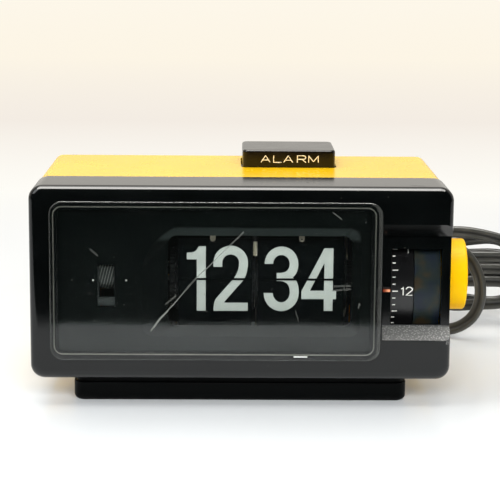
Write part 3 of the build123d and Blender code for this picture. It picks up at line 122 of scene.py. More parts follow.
class Finish:
    """A material, or the world, under construction."""

    def __init__(self, name, owner=None):
        self.owner = owner or bpy.data.materials.new(name)
        self.owner.use_nodes = True
        self.tree = self.owner.node_tree
        self.tree.nodes.clear()

    def node(self, kind, settings=None, inputs=None, output=0):
        """A node of any kind, with its settings, a ramp's stops among them, and inputs."""
        node = self.tree.nodes.new("ShaderNode" + kind)
        for key, value in (settings or {}).items():
            if key == "stops":
                elements = node.color_ramp.elements
                while len(elements) < len(value):
                    elements.new(0.5)
                for element, (place, tone) in zip(elements, value):
                    element.position, element.color = place, (*tone, 1)
            else:
                setattr(node, key, value)
        for key, value in (inputs or {}).items():
            if isinstance(value, Wire):
                self.tree.links.new(value.socket, node.inputs[key])
            else:
                node.inputs[key].default_value = value
        return Wire(self, node.outputs[output])

    def place(self, scale=(1, 1, 1), turn=(0, 0, 0)):
        """Points of the piece, in metres, stretched by three factors and then turned."""
        points = self.node("TexCoord", output="Object")
        return self.node("Mapping", {}, {"Vector": points, "Rotation": turn, "Scale": scale})

    def axis(self, letter):
        """One coordinate of the piece's own points, in millimetres."""
        points = self.node("TexCoord", output="Object")
        return self.node("SeparateXYZ", {}, {0: points}, output=letter) * 1000

    def noise(self, size, detail=3.0, roughness=0.5):
        """Cloudy values about 0.5, with blotches about size metres across."""
        return self.streaks((1, 1, 1), 1 / size, detail, roughness)

    def streaks(self, stretch, scale, detail, roughness=0.5, turn=(0, 0, 0)):
        """Noise drawn out into lines, on points stretched by three factors."""
        return self.node("TexNoise", {}, {"Vector": self.place(stretch, turn), "Scale": scale,
                                          "Detail": detail, "Roughness": roughness})

    def cells(self, scale):
        """How far a point is from the middle of the nearest of many scattered cells."""
        return self.node("TexVoronoi", {}, {"Vector": self.place(), "Scale": scale})

    def ramp(self, value, *stops):
        """A colour for a value, from stops that are a place and a colour."""
        return self.node("ValToRGB", {"stops": stops}, {"Fac": value})

    def tones(self, value, *stops):
        """A ramp whose stops are a place and a screen colour of 0 to 255."""
        return self.ramp(value, *[(place, rgb(*screen)[:3]) for place, *screen in stops])

    def blend(self, factor, first, second):
        return self.node("Mix", {"data_type": "RGBA"}, {0: factor, 6: first, 7: second}, output=2)

    def range(self, value, low, high, to_low, to_high):
        return self.node("MapRange", {}, {0: value, 1: low, 2: high, 3: to_low, 4: to_high})

    def bump(self, height, depth, strength=1.0, normal=None):
        inputs = {"Height": height, "Distance": depth, "Strength": strength}
        if normal:
            inputs["Normal"] = normal
        return self.node("Bump", {}, inputs)

    def principled(self, **sockets):
        inputs = {key.replace("_", " "): value for key, value in sockets.items()}
        return self.node("BsdfPrincipled", {}, inputs)

    def surface(self, **sockets):
        return self.out(self.principled(**sockets))

    def even(self, pattern, tones, rough, relief, **sockets):
        """A surface whose colour, roughness and relief all follow one pattern.

        rough is the least roughness and how far it rises, relief a depth and a strength."""
        return self.surface(Base_Color=self.tones(pattern, *tones),
                            Roughness=rough[0] + pattern * rough[1],
                            Normal=self.bump(pattern, *relief), **sockets)

    def out(self, shader):
        kind = "OutputWorld" if isinstance(self.owner, bpy.types.World) else "OutputMaterial"
        end = self.tree.nodes.new("ShaderNode" + kind)
        self.tree.links.new(shader.socket, end.inputs["Surface"])
        return self.owner


def rgb(red, green, blue):
    """Colour for a shader, from screen values of 0 to 255."""
    linear = [((v / 255 + 0.055) / 1.055) ** 2.4 if v > 10 else v / 255 / 12.92
              for v in (red, green, blue)]
    return (*linear, 1)


def edit_all():
    """Opens the active piece for editing, with all of it selected."""
    bpy.ops.object.mode_set(mode="EDIT")
    bpy.ops.mesh.select_all(action="SELECT")


def leave_edit():
    bpy.ops.object.mode_set(mode="OBJECT")


table_wide, table_front, table_back = 8, -0.217, 9.0
fade_near, fade_far = 0.24, 0.6
bpy.ops.mesh.primitive_plane_add(size=1)
table_top = bpy.context.object
table_top.name = "table_top"
edit_all()
bpy.ops.mesh.subdivide(number_cuts=3)
bpy.ops.transform.resize(value=(table_wide, table_back - table_front, 1))
bpy.ops.transform.translate(value=(0, (table_back + table_front) / 2, 0))
leave_edit()

paper = Finish("white_table")
across, far = paper.axis("X") * MM, paper.axis("Y") * MM
paper_tone = paper.noise(0.15, 2.0)
sheet_shader = paper.principled(
    Base_Color=paper.ramp(paper_tone, (0.3, (0.81, 0.84, 0.86)), (0.7, (0.775, 0.80, 0.815))),
    Roughness=0.18)
haze_colour = paper.ramp(far * 0.25, (0.05, (1.0, 1.0, 1.0)), (0.14, (1.0, 0.985, 0.93)),
                         (0.27, (0.9, 0.84, 0.77)), (0.5, (0.98, 0.915, 0.79)),
                         (1.0, (0.985, 0.93, 0.82)))
# the far table is shown to the camera in the tones of the room behind it
seen = paper.node("LightPath", output="Is Camera Ray")
away = (far * far + across * across) ** 0.5
lift = paper.node("Emission", {}, {"Color": haze_colour, "Strength": 1.0})
near_lift = paper.node("Emission", {}, {"Color": (0.95, 0.98, 1, 1), "Strength": seen * 0.1})
lit = paper.node("AddShader", {}, {0: sheet_shader, 1: near_lift})
table_top.data.materials.append(paper.out(paper.node("MixShader", {}, {
    0: seen * paper.range(away, fade_near, fade_far, 0.0, 1.0), 1: lit, 2: lift})))

room = Finish("room", bpy.data.worlds.new("room"))
scene.world = room.owner
toward = room.node("SeparateXYZ", {}, {0: room.node("TexCoord", output="Generated")},
                   output="Y")
room_tone = room.ramp(toward * 0.5 + 0.5, (0.0, (0.01, 0.013, 0.012)),
                      (0.44, (0.014, 0.018, 0.017)), (0.62, (0.62, 0.6, 0.56)),
                      (1.0, (0.78, 0.75, 0.69)))
room_seen = room.node("LightPath", output="Is Camera Ray")
room.out(room.node("Background", {}, {
    "Color": room.blend(room_seen, room_tone, (0.93, 0.89, 0.82, 1)), "Strength": 1.0}))


def lamp(name, place, aim, size, power, tint=(1, 1, 1)):
    """A soft flat lamp, facing a point."""
    data = bpy.data.lights.new(name, "AREA")
    data.shape, data.size, data.size_y = "RECTANGLE", *size
    data.energy, data.color = power, tint
    light = bpy.data.objects.new(name, data)
    facing = Vector(aim) - Vector(place)
    light.matrix_world = (Matrix.Translation(place)
                          @ facing.to_track_quat("-Z", "Y").to_matrix().to_4x4())
    scene.collection.objects.link(light)
    return light


lamp("ceiling", (-0.1, 0.05, 0.95), (0, 0.03, 0), (0.9, 0.8), 7.0, (1.0, 0.98, 0.95))
glare = lamp("glare", (0.0, -0.12, 1.0), (0, -0.06, 0), (1.3, 0.5), 24.0, (1.0, 0.98, 0.93))
glare.visible_diffuse = False
lamp("window", (-0.75, -0.35, 0.7), (0, 0, 0.05), (0.5, 0.6), 3.0, (0.96, 0.98, 1.0))
front = lamp("front", (0.1, -0.95, 0.5), (0, 0, 0.05), (0.7, 0.3), 12.0, (1.0, 1.0, 1.0))
front.visible_glossy = False

# ---------------------------------------------------------------- mains cord
# Soft grey vinyl twin flex, 6 mm wide and 3 mm thick with a groove down the middle. It
# leaves the back of the clock, loops forward beside the knob and goes back into the rest
# of its length, which is folded to and fro and tied round the middle, with the plug last.
cord_route = [
    (58.0, 78.0, 27.0), (58.5, 95.0, 24.5), (68.5, 106.0, 17.0), (84.0, 105.0, 9.0),
    (97.0, 91.0, 4.4), (107.0, 75.5, 3.3), (119.5, 69.5, 13.2), (121.0, 68.0, 32.0),
    (111.0, 71.5, 47.5), (94.5, 79.0, 51.5), (82.0, 90.0, 49.5), (82.0, 106.0, 46.0),
    (97.0, 112.5, 46.5), (113.0, 111.0, 49.0),
]
tail_route = [(204.0, 130.0, 18.0), (222.0, 126.5, 10.5), (236.0, 114.0, 6.0),
              (241.0, 98.0, 5.5), (236.0, 82.0, 5.5)]
tie_x, hank_y = 162.0, 126.0
column_step, row_step, top_row_z = 3.6, 6.3, 28.6
column_count, tie_half, fold_ease = 4, 8, 3
fan_left, fan_right, out_y, home_y = 142.0, 182.0, 107.5, 144.5
# runs of the hank at the tie, as columns and rows, and where they are in Y and Z as they
# fan out on the left, in the order that the cord goes through them, then where the folds
# end in X and Z
out_slots = [(0, 0), (1, 0), (0, 1), (0, 2), (1, 1), (1, 2)]
home_slots = [(3, 0), (2, 0), (3, 1), (3, 2), (2, 2)]
out_fanned = [(110.5, 42.5), (107.5, 36.0), (107.5, 29.5), (107.5, 23.0), (111.5, 26.0),
              (111.5, 10.5)]
home_fanned = [(144.5, 40.0), (144.5, 31.0), (144.5, 24.5), (140.5, 27.5), (140.5, 4.2)]
left_folds = [(100.0, 36.0), (101.5, 29.8), (100.0, 23.3), (104.0, 26.6), (104.5, 9.0)]
right_folds = [(216.0, 29.5), (214.0, 23.2), (216.0, 16.9), (214.5, 4.2), (213.0, 10.6)]


def select_only(piece):
    """Makes one piece the only one selected, and the active one."""
    bpy.ops.object.select_all(action="DESELECT")
    piece.select_set(True)
    bpy.context.view_layer.objects.active = piece


def at_tie(slot, side):
    column, row = slot
    return (tie_x + side * tie_half, hank_y + (column - (column_count - 1) / 2) * column_step,
            top_row_z - row * row_step)


def fold(side, end, first, second):
    """Points of a fold that lies flat, between where two runs have fanned out."""
    end_x, end_z = end
    first_y, second_y = first[1], second[1]
    radius, middle_y = abs(first_y - second_y) / 2, (first_y + second_y) / 2
    centre_x = end_x - side * radius
    reach = 0.414 * radius      # the tangent of 22.5 degrees makes four points a half round
    way = 1 if first_y > second_y else -1
    return [(centre_x - side * fold_ease, first_y, (first[2] + end_z) / 2),
            (centre_x + side * reach, first_y, end_z),
            (end_x, middle_y + way * reach, end_z),
            (end_x, middle_y - way * reach, end_z),
            (centre_x + side * reach, second_y, end_z),
            (centre_x - side * fold_ease, second_y, (second[2] + end_z) / 2)]


hank_route = [(128.0, 110.0, 47.0), (fan_left + 1, *out_fanned[0])]
for turn, (right_fold, left_fold) in enumerate(zip(right_folds, left_folds)):
    hank_route += [at_tie(out_slots[turn], -1), at_tie(out_slots[turn], 1)]
    hank_route += fold(1, right_fold, (fan_right, out_y, right_fold[1]),
                       (fan_right, home_y, right_fold[1]))
    hank_route += [at_tie(home_slots[turn], 1), at_tie(home_slots[turn], -1)]
    fanned = (fan_left, *home_fanned[turn]), (fan_left, *out_fanned[turn + 1])
    hank_route += [fanned[0], *fold(-1, left_fold, *fanned), fanned[1]]
hank_route += [at_tie(out_slots[-1], -1), at_tie(out_slots[-1], 1), (186.0, 125.0, 16.5)]

flex_points = cord_route + hank_route + tail_route
line = bpy.data.curves.new("flex_line", "CURVE")
line.dimensions, line.resolution_u = "3D", 8
spline = line.splines.new("NURBS")
spline.points.add(len(flex_points) - 1)
for point, (x, y, z) in zip(spline.points, flex_points):
    point.co = (x * MM, y * MM, z * MM, 1)
spline.order_u, spline.use_endpoint_u = 3, True
bare = bpy.data.objects.new("flex_line", line)
route_mesh = bpy.data.meshes.new_from_object(bare)
flex_path = [vertex.co.copy() for vertex in route_mesh.vertices]
bpy.data.objects.remove(bare)
flex_length = sum((b - a).length for a, b in zip(flex_path, flex_path[1:]))

# the flex's outline goes round each of its two cores, with a thin web between them
core_radius, core_points, first_angle, angle_step = 1.5, 8, -143.5, 41.0
section = []
for side in (1, -1):
    for step in range(core_points):
        angle = radians(first_angle + angle_step * step)
        section.append((side * core_radius * (1 + cos(angle)) * MM,
                        side * core_radius * sin(angle) * MM))
flex_mesh = bmesh.new()
flat = Vector((1, 0, 0))
pull_least, pull_share = 0.35, 0.12
rings = []
for index, point in enumerate(flex_path):
    ahead = flex_path[min(index + 1, len(flex_path) - 1)] - flex_path[max(index - 1, 0)]
    ahead.normalize()
    # the cord lies with its wide side upright, and where its way turns it comes back to
    # that gently, a little at each ring
    upright = Vector((0, 1, 0)) - ahead * ahead.y
    flat = (flat - ahead * flat.dot(ahead)).normalized()
    pull = pull_share * max(0.0, upright.length - pull_least)
    if upright.dot(flat) < 0:
        upright = -upright
    if upright.length > 0.001:
        flat = (flat + upright.normalized() * pull).normalized()
    wide = ahead.cross(flat)
    rings.append([flex_mesh.verts.new(point + wide * across + flat * through)
                  for across, through in section])
for ring, following in zip(rings, rings[1:]):
    for place in range(len(section)):
        flex_mesh.faces.new((ring[place], ring[place - 1],
                             following[place - 1], following[place]))
flex_mesh.faces.new(rings[0])
flex_mesh.faces.new(rings[-1][::-1])
bmesh.ops.recalc_face_normals(flex_mesh, faces=flex_mesh.faces)
flex_data = bpy.data.meshes.new("mains_flex")
flex_mesh.to_mesh(flex_data)
flex_mesh.free()
# the groove is darkened in the colour as painted shade, so its points are marked for the material
groove_shade_mark = flex_data.attributes.new("groove", "FLOAT", "POINT")
for index, mark in enumerate(groove_shade_mark.data):
    mark.value = 1.0 if index % core_points in (0, core_points - 1) else 0.0
mains_flex = bpy.data.objects.new("mains_flex", flex_data)
scene.collection.objects.link(mains_flex)
select_only(mains_flex)
bpy.ops.object.shade_smooth()

vinyl = Finish("soft_grey_vinyl")
smears = vinyl.noise(0.012, 4.0)
vinyl_colour = vinyl.tones(smears, (0.3, 46, 47, 44), (0.55, 60, 60, 56), (0.75, 74, 74, 69))
groove = vinyl.node("Attribute", {"attribute_name": "groove"}, output="Fac")
# the marked groove is painted near black, painted shade between the two cores
cord_grey = vinyl.surface(
    Base_Color=vinyl.blend(groove * 0.85, vinyl_colour, rgb(8, 8, 8)),
    Roughness=0.26 + smears * 0.14 + groove * 0.3, IOR=1.5,
    Normal=vinyl.bump(vinyl.noise(0.0006, 2.0), 0.00004, 0.5))
mains_flex.data.materials.append(cord_grey)
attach(mains_flex, "case")
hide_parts("mains_cord", "cord_hank", "cord_tail")

# ---------------------------------------------------------------- front shell
# One moulding of glossy black styrene, polished in the tool like a piano lid. It carries
# everything behind it, and years of wiping have left fine hairlines and a little dust.
shell = Finish("polished_black_styrene")
wiping = shell.noise(0.03, 5.0, 0.62)
hairlines = shell.streaks((90, 90, 1400), 1.0, 4.0, 0.7, (0, 0.35, 0))
speck = (shell.cells(260.0) < 0.045) * (shell.noise(0.02, 1.0) > 0.52)
# the floor of the thumb recess is left grained; its sheen is painted in as grey sparkle
recess_left, recess_front, recess_low, recess_high = 60.6, -55.7, 28.0, 34.9
shell_z = shell.axis("Z")
inside = ((shell.axis("X") > recess_left) * (shell.axis("Y") > recess_front)
          * (shell_z < recess_high) * (shell_z > recess_low))
sparkle = shell.cells(1100.0)
# painted sheen: the grained floor is coloured grey with sparkle
grain_and_painted_sparkle = shell.tones(sparkle, (0.1, 128, 128, 126), (0.5, 72, 73, 72))
shell_colour = shell.blend(inside, shell.blend(speck * 0.5, shell.tones(
    wiping, (0.35, 3, 4, 4), (0.7, 8, 10, 10)), rgb(120, 120, 112)), grain_and_painted_sparkle)
orange_peel = shell.bump(shell.noise(0.004, 2.0), 0.00002, 0.35)
front_gloss = shell.surface(
    Base_Color=shell_colour, IOR=1.5,
    Roughness=0.07 + wiping * 0.07 + (hairlines > 0.66) * 0.1 + inside * 0.4,
    Normal=shell.bump(speck + sparkle * inside, 0.00005, 0.4, orange_peel))


def coat(finish, *nodes):
    """Gives a material to parts that come from the frame."""
    for name in nodes:
        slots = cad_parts[name].data.materials
        if not slots:
            slots.append(finish)
        for place in range(len(slots)):
            slots[place] = finish


coat(front_gloss, "front_bezel")

# ---------------------------------------------------------------- rear shell
# A tub of bright yellow ABS that plugs into the front shell and holds the works. It is
# glossy, slightly rippled, blotched with grime, and faded a little.
tub = Finish("yellow_abs")
fading = tub.noise(0.05, 3.0)
grime = tub.noise(0.009, 5.0, 0.65)
yellow = tub.tones(fading, (0.3, 249, 194, 4), (0.6, 252, 202, 6), (0.8, 254, 208, 16))
yellow_worn = tub.blend((grime - 0.62) * 0.5, yellow, rgb(224, 168, 14))
tub_ripple = tub.bump(tub.noise(0.012, 2.0), 0.00003, 0.25)
case_yellow = tub.surface(
    Base_Color=yellow_worn, Roughness=0.2 + grime * 0.12, IOR=1.52,
    Normal=tub.bump(tub.noise(0.0008, 2.0), 0.000004, 0.15, tub_ripple))
coat(case_yellow, "rear_case")

# ---------------------------------------------------------------- plinth
# The foot is a black tray with an inset neck, screwed up from below. Its moulding is left
# a shade duller than the shell, and its lower edge is scuffed from sliding about.
foot = Finish("satin_black_styrene")
scuff = foot.noise(0.004, 5.0, 0.7)
scuff_high = 3.0
scuffed = (scuff - 0.5) * foot.range(foot.axis("Z"), 0.0, scuff_high, 1.0, 0.0)
plinth_black = foot.surface(
    Base_Color=foot.tones(scuffed, (0.0, 2, 3, 3), (0.2, 20, 20, 19)),
    Roughness=0.4 + scuff * 0.16, IOR=1.2,
    Normal=foot.bump(foot.noise(0.0012, 3.0), 0.00003, 0.5))
coat(plinth_black, "base_plinth")

# ---------------------------------------------------------------- window pane
# A shallow tray of clear acrylic pressed into the front shell, a millimetre proud of it.
# It mirrors the room faintly and is marked by one long scratch, small nicks and dust.
pane = Finish("clear_acrylic")
pane_across, pane_up = pane.axis("X"), pane.axis("Z")


def scratch(start, end, width, wander):
    """1 along a line across the pane, in millimetres of X and Z, and 0 elsewhere."""
    (x0, z0), (x1, z1) = start, end
    run, rise = x1 - x0, z1 - z0
    length = (run * run + rise * rise) ** 0.5
    from_x, from_z = pane_across - x0, pane_up - z0
    along = from_x * (run / length) + from_z * (rise / length)
    aside = from_x * (-rise / length) + from_z * (run / length)
    aside = aside + (pane.noise(0.011, 2.0) - 0.5) * wander
    return (along > 0) * (along < length) * (abs(aside) < width / 2)


scratches = [((-38.4, 33.6), (-35.4, 37.6), 0.34, 0.6), ((-35.6, 37.3), (-21.6, 53.9), 0.24, 1.2),
             ((-21.6, 53.9), (0.9, 76.6), 0.19, 1.2), ((-36.9, 35.2), (-31.0, 42.4), 0.26, 1.6),
             ((38.6, 51.4), (46.5, 52.3), 0.15, 0.2), ((39.2, 53.3), (46.5, 53.7), 0.13, 0.2),
             ((38.5, 85.1), (42.4, 82.2), 0.15, 0.4), ((-32.2, 45.2), (-27.6, 49.1), 0.15, 0.5),
             ((49.9, 43.9), (50.5, 45.9), 0.17, 0.2), ((50.0, 45.5), (51.0, 45.6), 0.15, 0.1),
             ((23.2, 42.6), (24.6, 38.2), 0.12, 0.3), ((-64.0, 69.0), (-60.6, 66.0), 0.13, 0.4)]
marks = scratch(*scratches[0])
for nick in scratches[1:]:
    marks = marks.most(scratch(*nick))
flecks = (pane.cells(170.0) < 0.055) * (pane.noise(0.013, 2.0) > 0.6)
haze = pane.noise(0.035, 5.0, 0.6)

# how far in from the pane's rounded outline a point is, in millimetres
(pane_left, _, pane_bottom), (pane_right, _, pane_top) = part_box("window_lens")
flange, corner, edge_highlight_wide, rim_wide = 1.2, 5.6, 0.5, 3.5
half_wide = (pane_right - pane_left) / 2 / MM - flange
half_tall = (pane_top - pane_bottom) / 2 / MM - flange
out_side = abs(pane_across - (pane_left + pane_right) / 2 / MM) - (half_wide - corner)
out_level = abs(pane_up - (pane_bottom + pane_top) / 2 / MM) - (half_tall - corner)
past_side, past_level = out_side.most(0.0), out_level.most(0.0)
nearer = out_side.most(out_level).least(0.0)
inward = corner - (past_side * past_side + past_level * past_level) ** 0.5 - nearer
# a thin grey line along the pane's outer edge, a painted highlight
painted_edge_highlight = (inward < edge_highlight_wide) * (pane.noise(0.003, 3.0) * 0.5 + 0.1)
# a band round the rim is partly painted dark, painted shade where the tray's clear wall looks
# dark
painted_rim_shade = (inward < rim_wide) * 0.55
# a short white dash low on the pane, a painted glint
spot_x, spot_z, spot_half_wide, spot_half_tall = 25.6, 22.75, 2.9, 0.22
glint_spot = ((abs(pane_across - spot_x) < spot_half_wide)
              * (abs(pane_up - spot_z) < spot_half_tall))

# scratches, nicks and dust, together with the painted glint and the painted edge highlight
wear_and_painted_glints = (marks * 0.55 + flecks * 0.3 + haze * 0.004 + painted_edge_highlight * 0.3).most(glint_spot)
turned = pane.node("LayerWeight", {}, {"Blend": 0.5}, output="Facing")
mirror = turned ** 5 * 0.96 + 0.04      # acrylic, the same from both sides of the pane
through = pane.node("BsdfTransparent", {}, {"Color": (0.93, 0.945, 0.94, 1)})
skin = pane.principled(Base_Color=pane.blend(glint_spot, rgb(150, 152, 146), rgb(252, 252, 250)),
                       Roughness=0.3 + wear_and_painted_glints * 0.3)
# the dark of the rim band, painted shade
painted_dark_rim = pane.principled(Base_Color=rgb(4, 7, 7), Roughness=0.3)
gloss = pane.principled(Base_Color=(0.9, 0.92, 0.92, 1), Metallic=1.0,
                        Roughness=0.035 + haze * 0.05,
                        Normal=pane.bump(pane.noise(0.025, 2.0), 0.00006, 0.3))
behind = pane.node("MixShader", {}, {0: painted_rim_shade, 1: through, 2: painted_dark_rim})
clear = pane.node("MixShader", {}, {0: mirror, 1: behind, 2: gloss})
window_clear = pane.out(pane.node("MixShader", {}, {0: wear_and_painted_glints, 1: clear, 2: skin}))
coat(window_clear, "window_lens")


def settle(piece):
    """Writes a finished piece's place, turn and size into its mesh."""
    select_only(piece)
    bpy.ops.object.transform_apply(location=True, rotation=True, scale=True)


# The tray's inner corner catches the light as a fine broken line all the way round. A thin
# bead there is coloured near white, a painted highlight, brightest along the bottom.
bead_narrower, bead_lower, bead_behind = 5.7 * MM, 7.2 * MM, 1.2 * MM
bead_corner, bead_thick = 3.6 * MM, 0.52 * MM
bpy.ops.mesh.primitive_plane_add(size=1, rotation=(pi / 2, 0, 0))
bead = bpy.context.object
bead.name = "window_bead_highlight"
pane_low, pane_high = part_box("window_lens")
bead.scale = (pane_high[0] - pane_low[0] - bead_narrower,
              pane_high[2] - pane_low[2] - bead_lower, 1)
bead.location = ((pane_low[0] + pane_high[0]) / 2, pane_low[1] + bead_behind,
                 (pane_low[2] + pane_high[2]) / 2)
settle(bead)
edit_all()
bpy.ops.mesh.bevel(offset=bead_corner, segments=8, affect="VERTICES")
bpy.ops.mesh.delete(type="ONLY_FACE")
leave_edit()
bpy.ops.object.convert(target="CURVE")
bpy.context.object.data.bevel_depth = bead_thick / 2
bpy.ops.object.convert(target="MESH")
bead = bpy.context.object
bpy.ops.object.shade_smooth()
glint = Finish("broken_bead_glint")
dashes = glint.node("TexChecker", {}, {"Vector": glint.place(), "Scale": 1450.0}, output=1)
patchy = glint.noise(0.012, 3.0)
lit_low, lit_high = 22.5, 30.0
low_side = glint.range(glint.axis("Z"), lit_low, lit_high, 1.0, 0.0)
glint_tone = glint.blend(low_side, rgb(206, 206, 192), rgb(252, 246, 230))
gaps = dashes * (0.6 - low_side * 0.35) + patchy * 0.15
glint_colour = glint.blend(gaps, glint_tone, rgb(22, 24, 22))
bead.data.materials.append(glint.surface(
    Base_Color=glint_colour, Roughness=0.35 + patchy * 0.2))
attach(bead, "case")

# ---------------------------------------------------------------- dial mask
# A black moulding behind the pane, satin from its tool, dished round the numbers. Two
# white dots are printed either side of the slot where the running indicator shows.
mask = Finish("satin_black_mask")
mask_across, mask_up = mask.axis("X"), mask.axis("Z")
mask_cloud = mask.noise(0.02, 4.0)
lint = (mask.cells(210.0) < 0.05) * (mask.noise(0.011, 2.0) > 0.62)
dot_left, dot_right, dot_level, dot_radius = -63.1, -49.0, 54.6, 0.4


def dot_at(dot_x):
    off_x, off_z = mask_across - dot_x, mask_up - dot_level
    return (off_x * off_x + off_z * off_z) < dot_radius ** 2


dots = dot_at(dot_left) + dot_at(dot_right)
mask_plain = mask.blend(lint * 0.55, mask.tones(
    mask_cloud, (0.3, 2, 5, 5), (0.7, 6, 11, 10)), rgb(150, 150, 140))
# the upper wall of the dish is lightened grey, a painted reflection of the bright table
dish_front, dish_back, dish_low, dish_high = -51.1, -50.5, 71.0, 72.8
painted_wall_reflection = (mask.range(mask.axis("Y"), dish_front, dish_back, 0.0, 1.0)
          * mask.range(mask_up, dish_low, dish_high, 0.0, 1.0) * (mask_cloud * 0.5 + 0.5))
mask_colour = mask.blend(painted_wall_reflection, mask_plain, rgb(52, 58, 57))
mask_black = mask.surface(
    Base_Color=mask.blend(dots, mask_colour, rgb(214, 214, 206)),
    Roughness=0.34 + mask_cloud * 0.14, IOR=1.2,
    Normal=mask.bump(mask.noise(0.0014, 2.0), 0.00001, 0.4))
coat(mask_black, "dial_mask")

# ---------------------------------------------------------------- frame of the works
# Two plates and a floor of zinc-plated sheet steel, held apart by turned rods. The plate
# carries faint rolling lines and a cloudy yellow passivation.
sheet = Finish("zinc_plated_sheet")
rolled = sheet.streaks((1, 40, 1), 60.0, 4.0)
cloudy = sheet.noise(0.012, 4.0)
sheet_steel = sheet.surface(
    Base_Color=sheet.tones(
        cloudy, (0.3, 142, 142, 138), (0.6, 168, 164, 148), (0.85, 182, 176, 152)),
    Metallic=0.95, Roughness=0.32 + rolled * 0.2,
    Normal=sheet.bump(rolled, 0.00002, 0.6))
coat(sheet_steel, "chassis_left", "chassis_right", "chassis_base", "motor_mount",
     "transfer_bracket", "buzzer_bracket", "buzzer_reed")

lathe = Finish("turned_steel")
rings = lathe.streaks((60, 1, 1), 90.0, 3.0)
turned_steel = lathe.even(rings, [(0.3, 150, 151, 152), (0.7, 190, 190, 188)],
                          (0.2, 0.16), (0.00001, 0.6), Metallic=1.0)
coat(turned_steel, "tie_rods", "flap_axle", "drum_axle", "knob_shaft", "lay_shaft",
     "roller_axle", "case_screws", "plinth_fixings", "button_springs")


def pick(piece, test):
    """Selects the points that pass a test, and the edges and faces between them."""
    points = piece.data.vertices
    for point in points:
        point.select = bool(test(point.co))
    for group in (piece.data.edges, piece.data.polygons):
        for part in group:
            part.select = all(points[corner].select for corner in part.vertices)


def apply_modifier(piece, kind, **settings):
    modifier = piece.modifiers.new(kind, kind)
    for key, value in settings.items():
        setattr(modifier, key, value)
    bpy.ops.object.modifier_apply(modifier=modifier.name)


def ease_edges(offset, segments):
    """Bevels all the edges of the active piece, by an offset in millimetres."""
    edit_all()
    bpy.ops.mesh.bevel(offset=offset * MM, segments=segments)
    leave_edit()


# A card of black fibre stands behind the works, on the shell's floor, and keeps fingers
# and dust from the vents off the live parts.
card_left, card_right, card_wing, card_low, card_notch, card_top = -58, 53.2, 66, 14.6, 24, 86
card_y, card_thick, card_eased = 44.5, 0.6, 0.2
bpy.ops.mesh.primitive_plane_add(size=1, rotation=(pi / 2, 0, 0), location=(
    (card_left + card_right) / 2 * MM, card_y * MM, (card_low + card_notch) / 2 * MM))
card = bpy.context.object
card.name = "insulating_card"
card.scale = ((card_right - card_left) * MM, (card_notch - card_low) * MM, 1)
settle(card)
# it is drawn up from the top edge of its foot, and out to a wing from the right edge
for least_x, way, length in ((card_left, 2, card_top - card_notch),
                             (card_right, 0, card_wing - card_right)):
    pick(card, lambda point: (point.x > (least_x - 1) * MM
                              and point.z > (card_notch - 1) * MM))
    bpy.ops.object.mode_set(mode="EDIT")
    bpy.ops.mesh.select_mode(type="EDGE")
    bpy.ops.mesh.extrude_region_move(TRANSFORM_OT_translate={
        "value": [length * MM if axis == way else 0 for axis in range(3)]})
    leave_edit()
edit_all()
bpy.ops.mesh.normals_make_consistent(inside=False)
leave_edit()
apply_modifier(card, "SOLIDIFY", thickness=card_thick * MM, offset=0)
ease_edges(card_eased, 2)
fibre = Finish("black_fibre_card")
fibres = fibre.streaks((400, 1, 2400), 1.0, 4.0)
card.data.materials.append(fibre.surface(
    Base_Color=fibre.tones(fibres, (0.3, 10, 11, 11), (0.7, 26, 27, 26)),
    Roughness=0.8, Normal=fibre.bump(fibres, 0.00003, 0.6)))
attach(card, "case")

# ---------------------------------------------------------------- spools and gears
# The spools that carry the leaves are black acetal, and their two gears are given the same
# black as painted shade, where they stand in shadow. The other gears are natural nylon, a
# milky white that yellows. All are moulded, smooth and soft edged.
nylon = Finish("natural_nylon")
milk = nylon.noise(0.006, 3.0)
gear_white = nylon.surface(
    Base_Color=nylon.tones(milk, (0.3, 214, 208, 190), (0.7, 230, 226, 212)),
    Roughness=0.38 + milk * 0.12, Normal=nylon.bump(nylon.noise(0.0009, 2.0), 0.00002, 0.5))
coat(gear_white, "transfer_pinion", "lay_gear", "knob_pinion", "motor_pinion")
acetal = Finish("black_acetal_and_gear_shade")
rubbed = acetal.noise(0.003, 4.0)
spool_black_and_gear_shade = acetal.even(rubbed, [(0.35, 8, 9, 10), (0.7, 26, 28, 28)],
                          (0.4, 0.14), (0.00001, 0.5))
# the two gears take this black as painted shade
coat(spool_black_and_gear_shade, "hour_spool", "minute_spool", "hour_gear", "minute_gear", "lamp_holder")

# ---------------------------------------------------------------- number leaves
# Leaves of thin black styrene sheet hang on two spools, and each carries half a number on
# its face and half of the next one on its back, screen printed in pale grey ink.
film = Finish("matt_black_leaf")
leaf_cloud = film.noise(0.015, 4.0)
rub_lines = film.streaks((12, 1, 260), 6.0, 3.0)
leaf_black = film.surface(
    Base_Color=film.tones(
        leaf_cloud * 0.6 + rub_lines * 0.4, (0.35, 2, 4, 6), (0.65, 7, 11, 11)),
    Roughness=0.55 + leaf_cloud * 0.14, IOR=1.2,
    Normal=film.bump(film.noise(0.0006, 2.0), 0.00001, 0.6))
coat(leaf_black, "hour_lower_leaf", "minute_lower_leaf", "hour_leaves", "minute_leaves",
     "hour_falling_leaf", "minute_falling_leaf")

ink = Finish("pale_grey_ink")
ink_cloud = ink.noise(0.005, 4.0)
ink_pits = ink.noise(0.0005, 2.0)
number_ink = ink.surface(
    Base_Color=ink.tones(
        ink_cloud * 0.7 + ink_pits * 0.3, (0.3, 195, 200, 194), (0.65, 210, 215, 208)),
    Roughness=0.5 + ink_pits * 0.15, Normal=ink.bump(ink_pits, 0.00001, 0.6))


def arc(x, z, wide, tall, start, end, steps=14):
    """Points along part of an ellipse, between two angles in degrees."""
    return [(x + wide * cos(radians(start + (end - start) * step / steps)),
             z + tall * sin(radians(start + (end - start) * step / steps)))
            for step in range(steps + 1)]


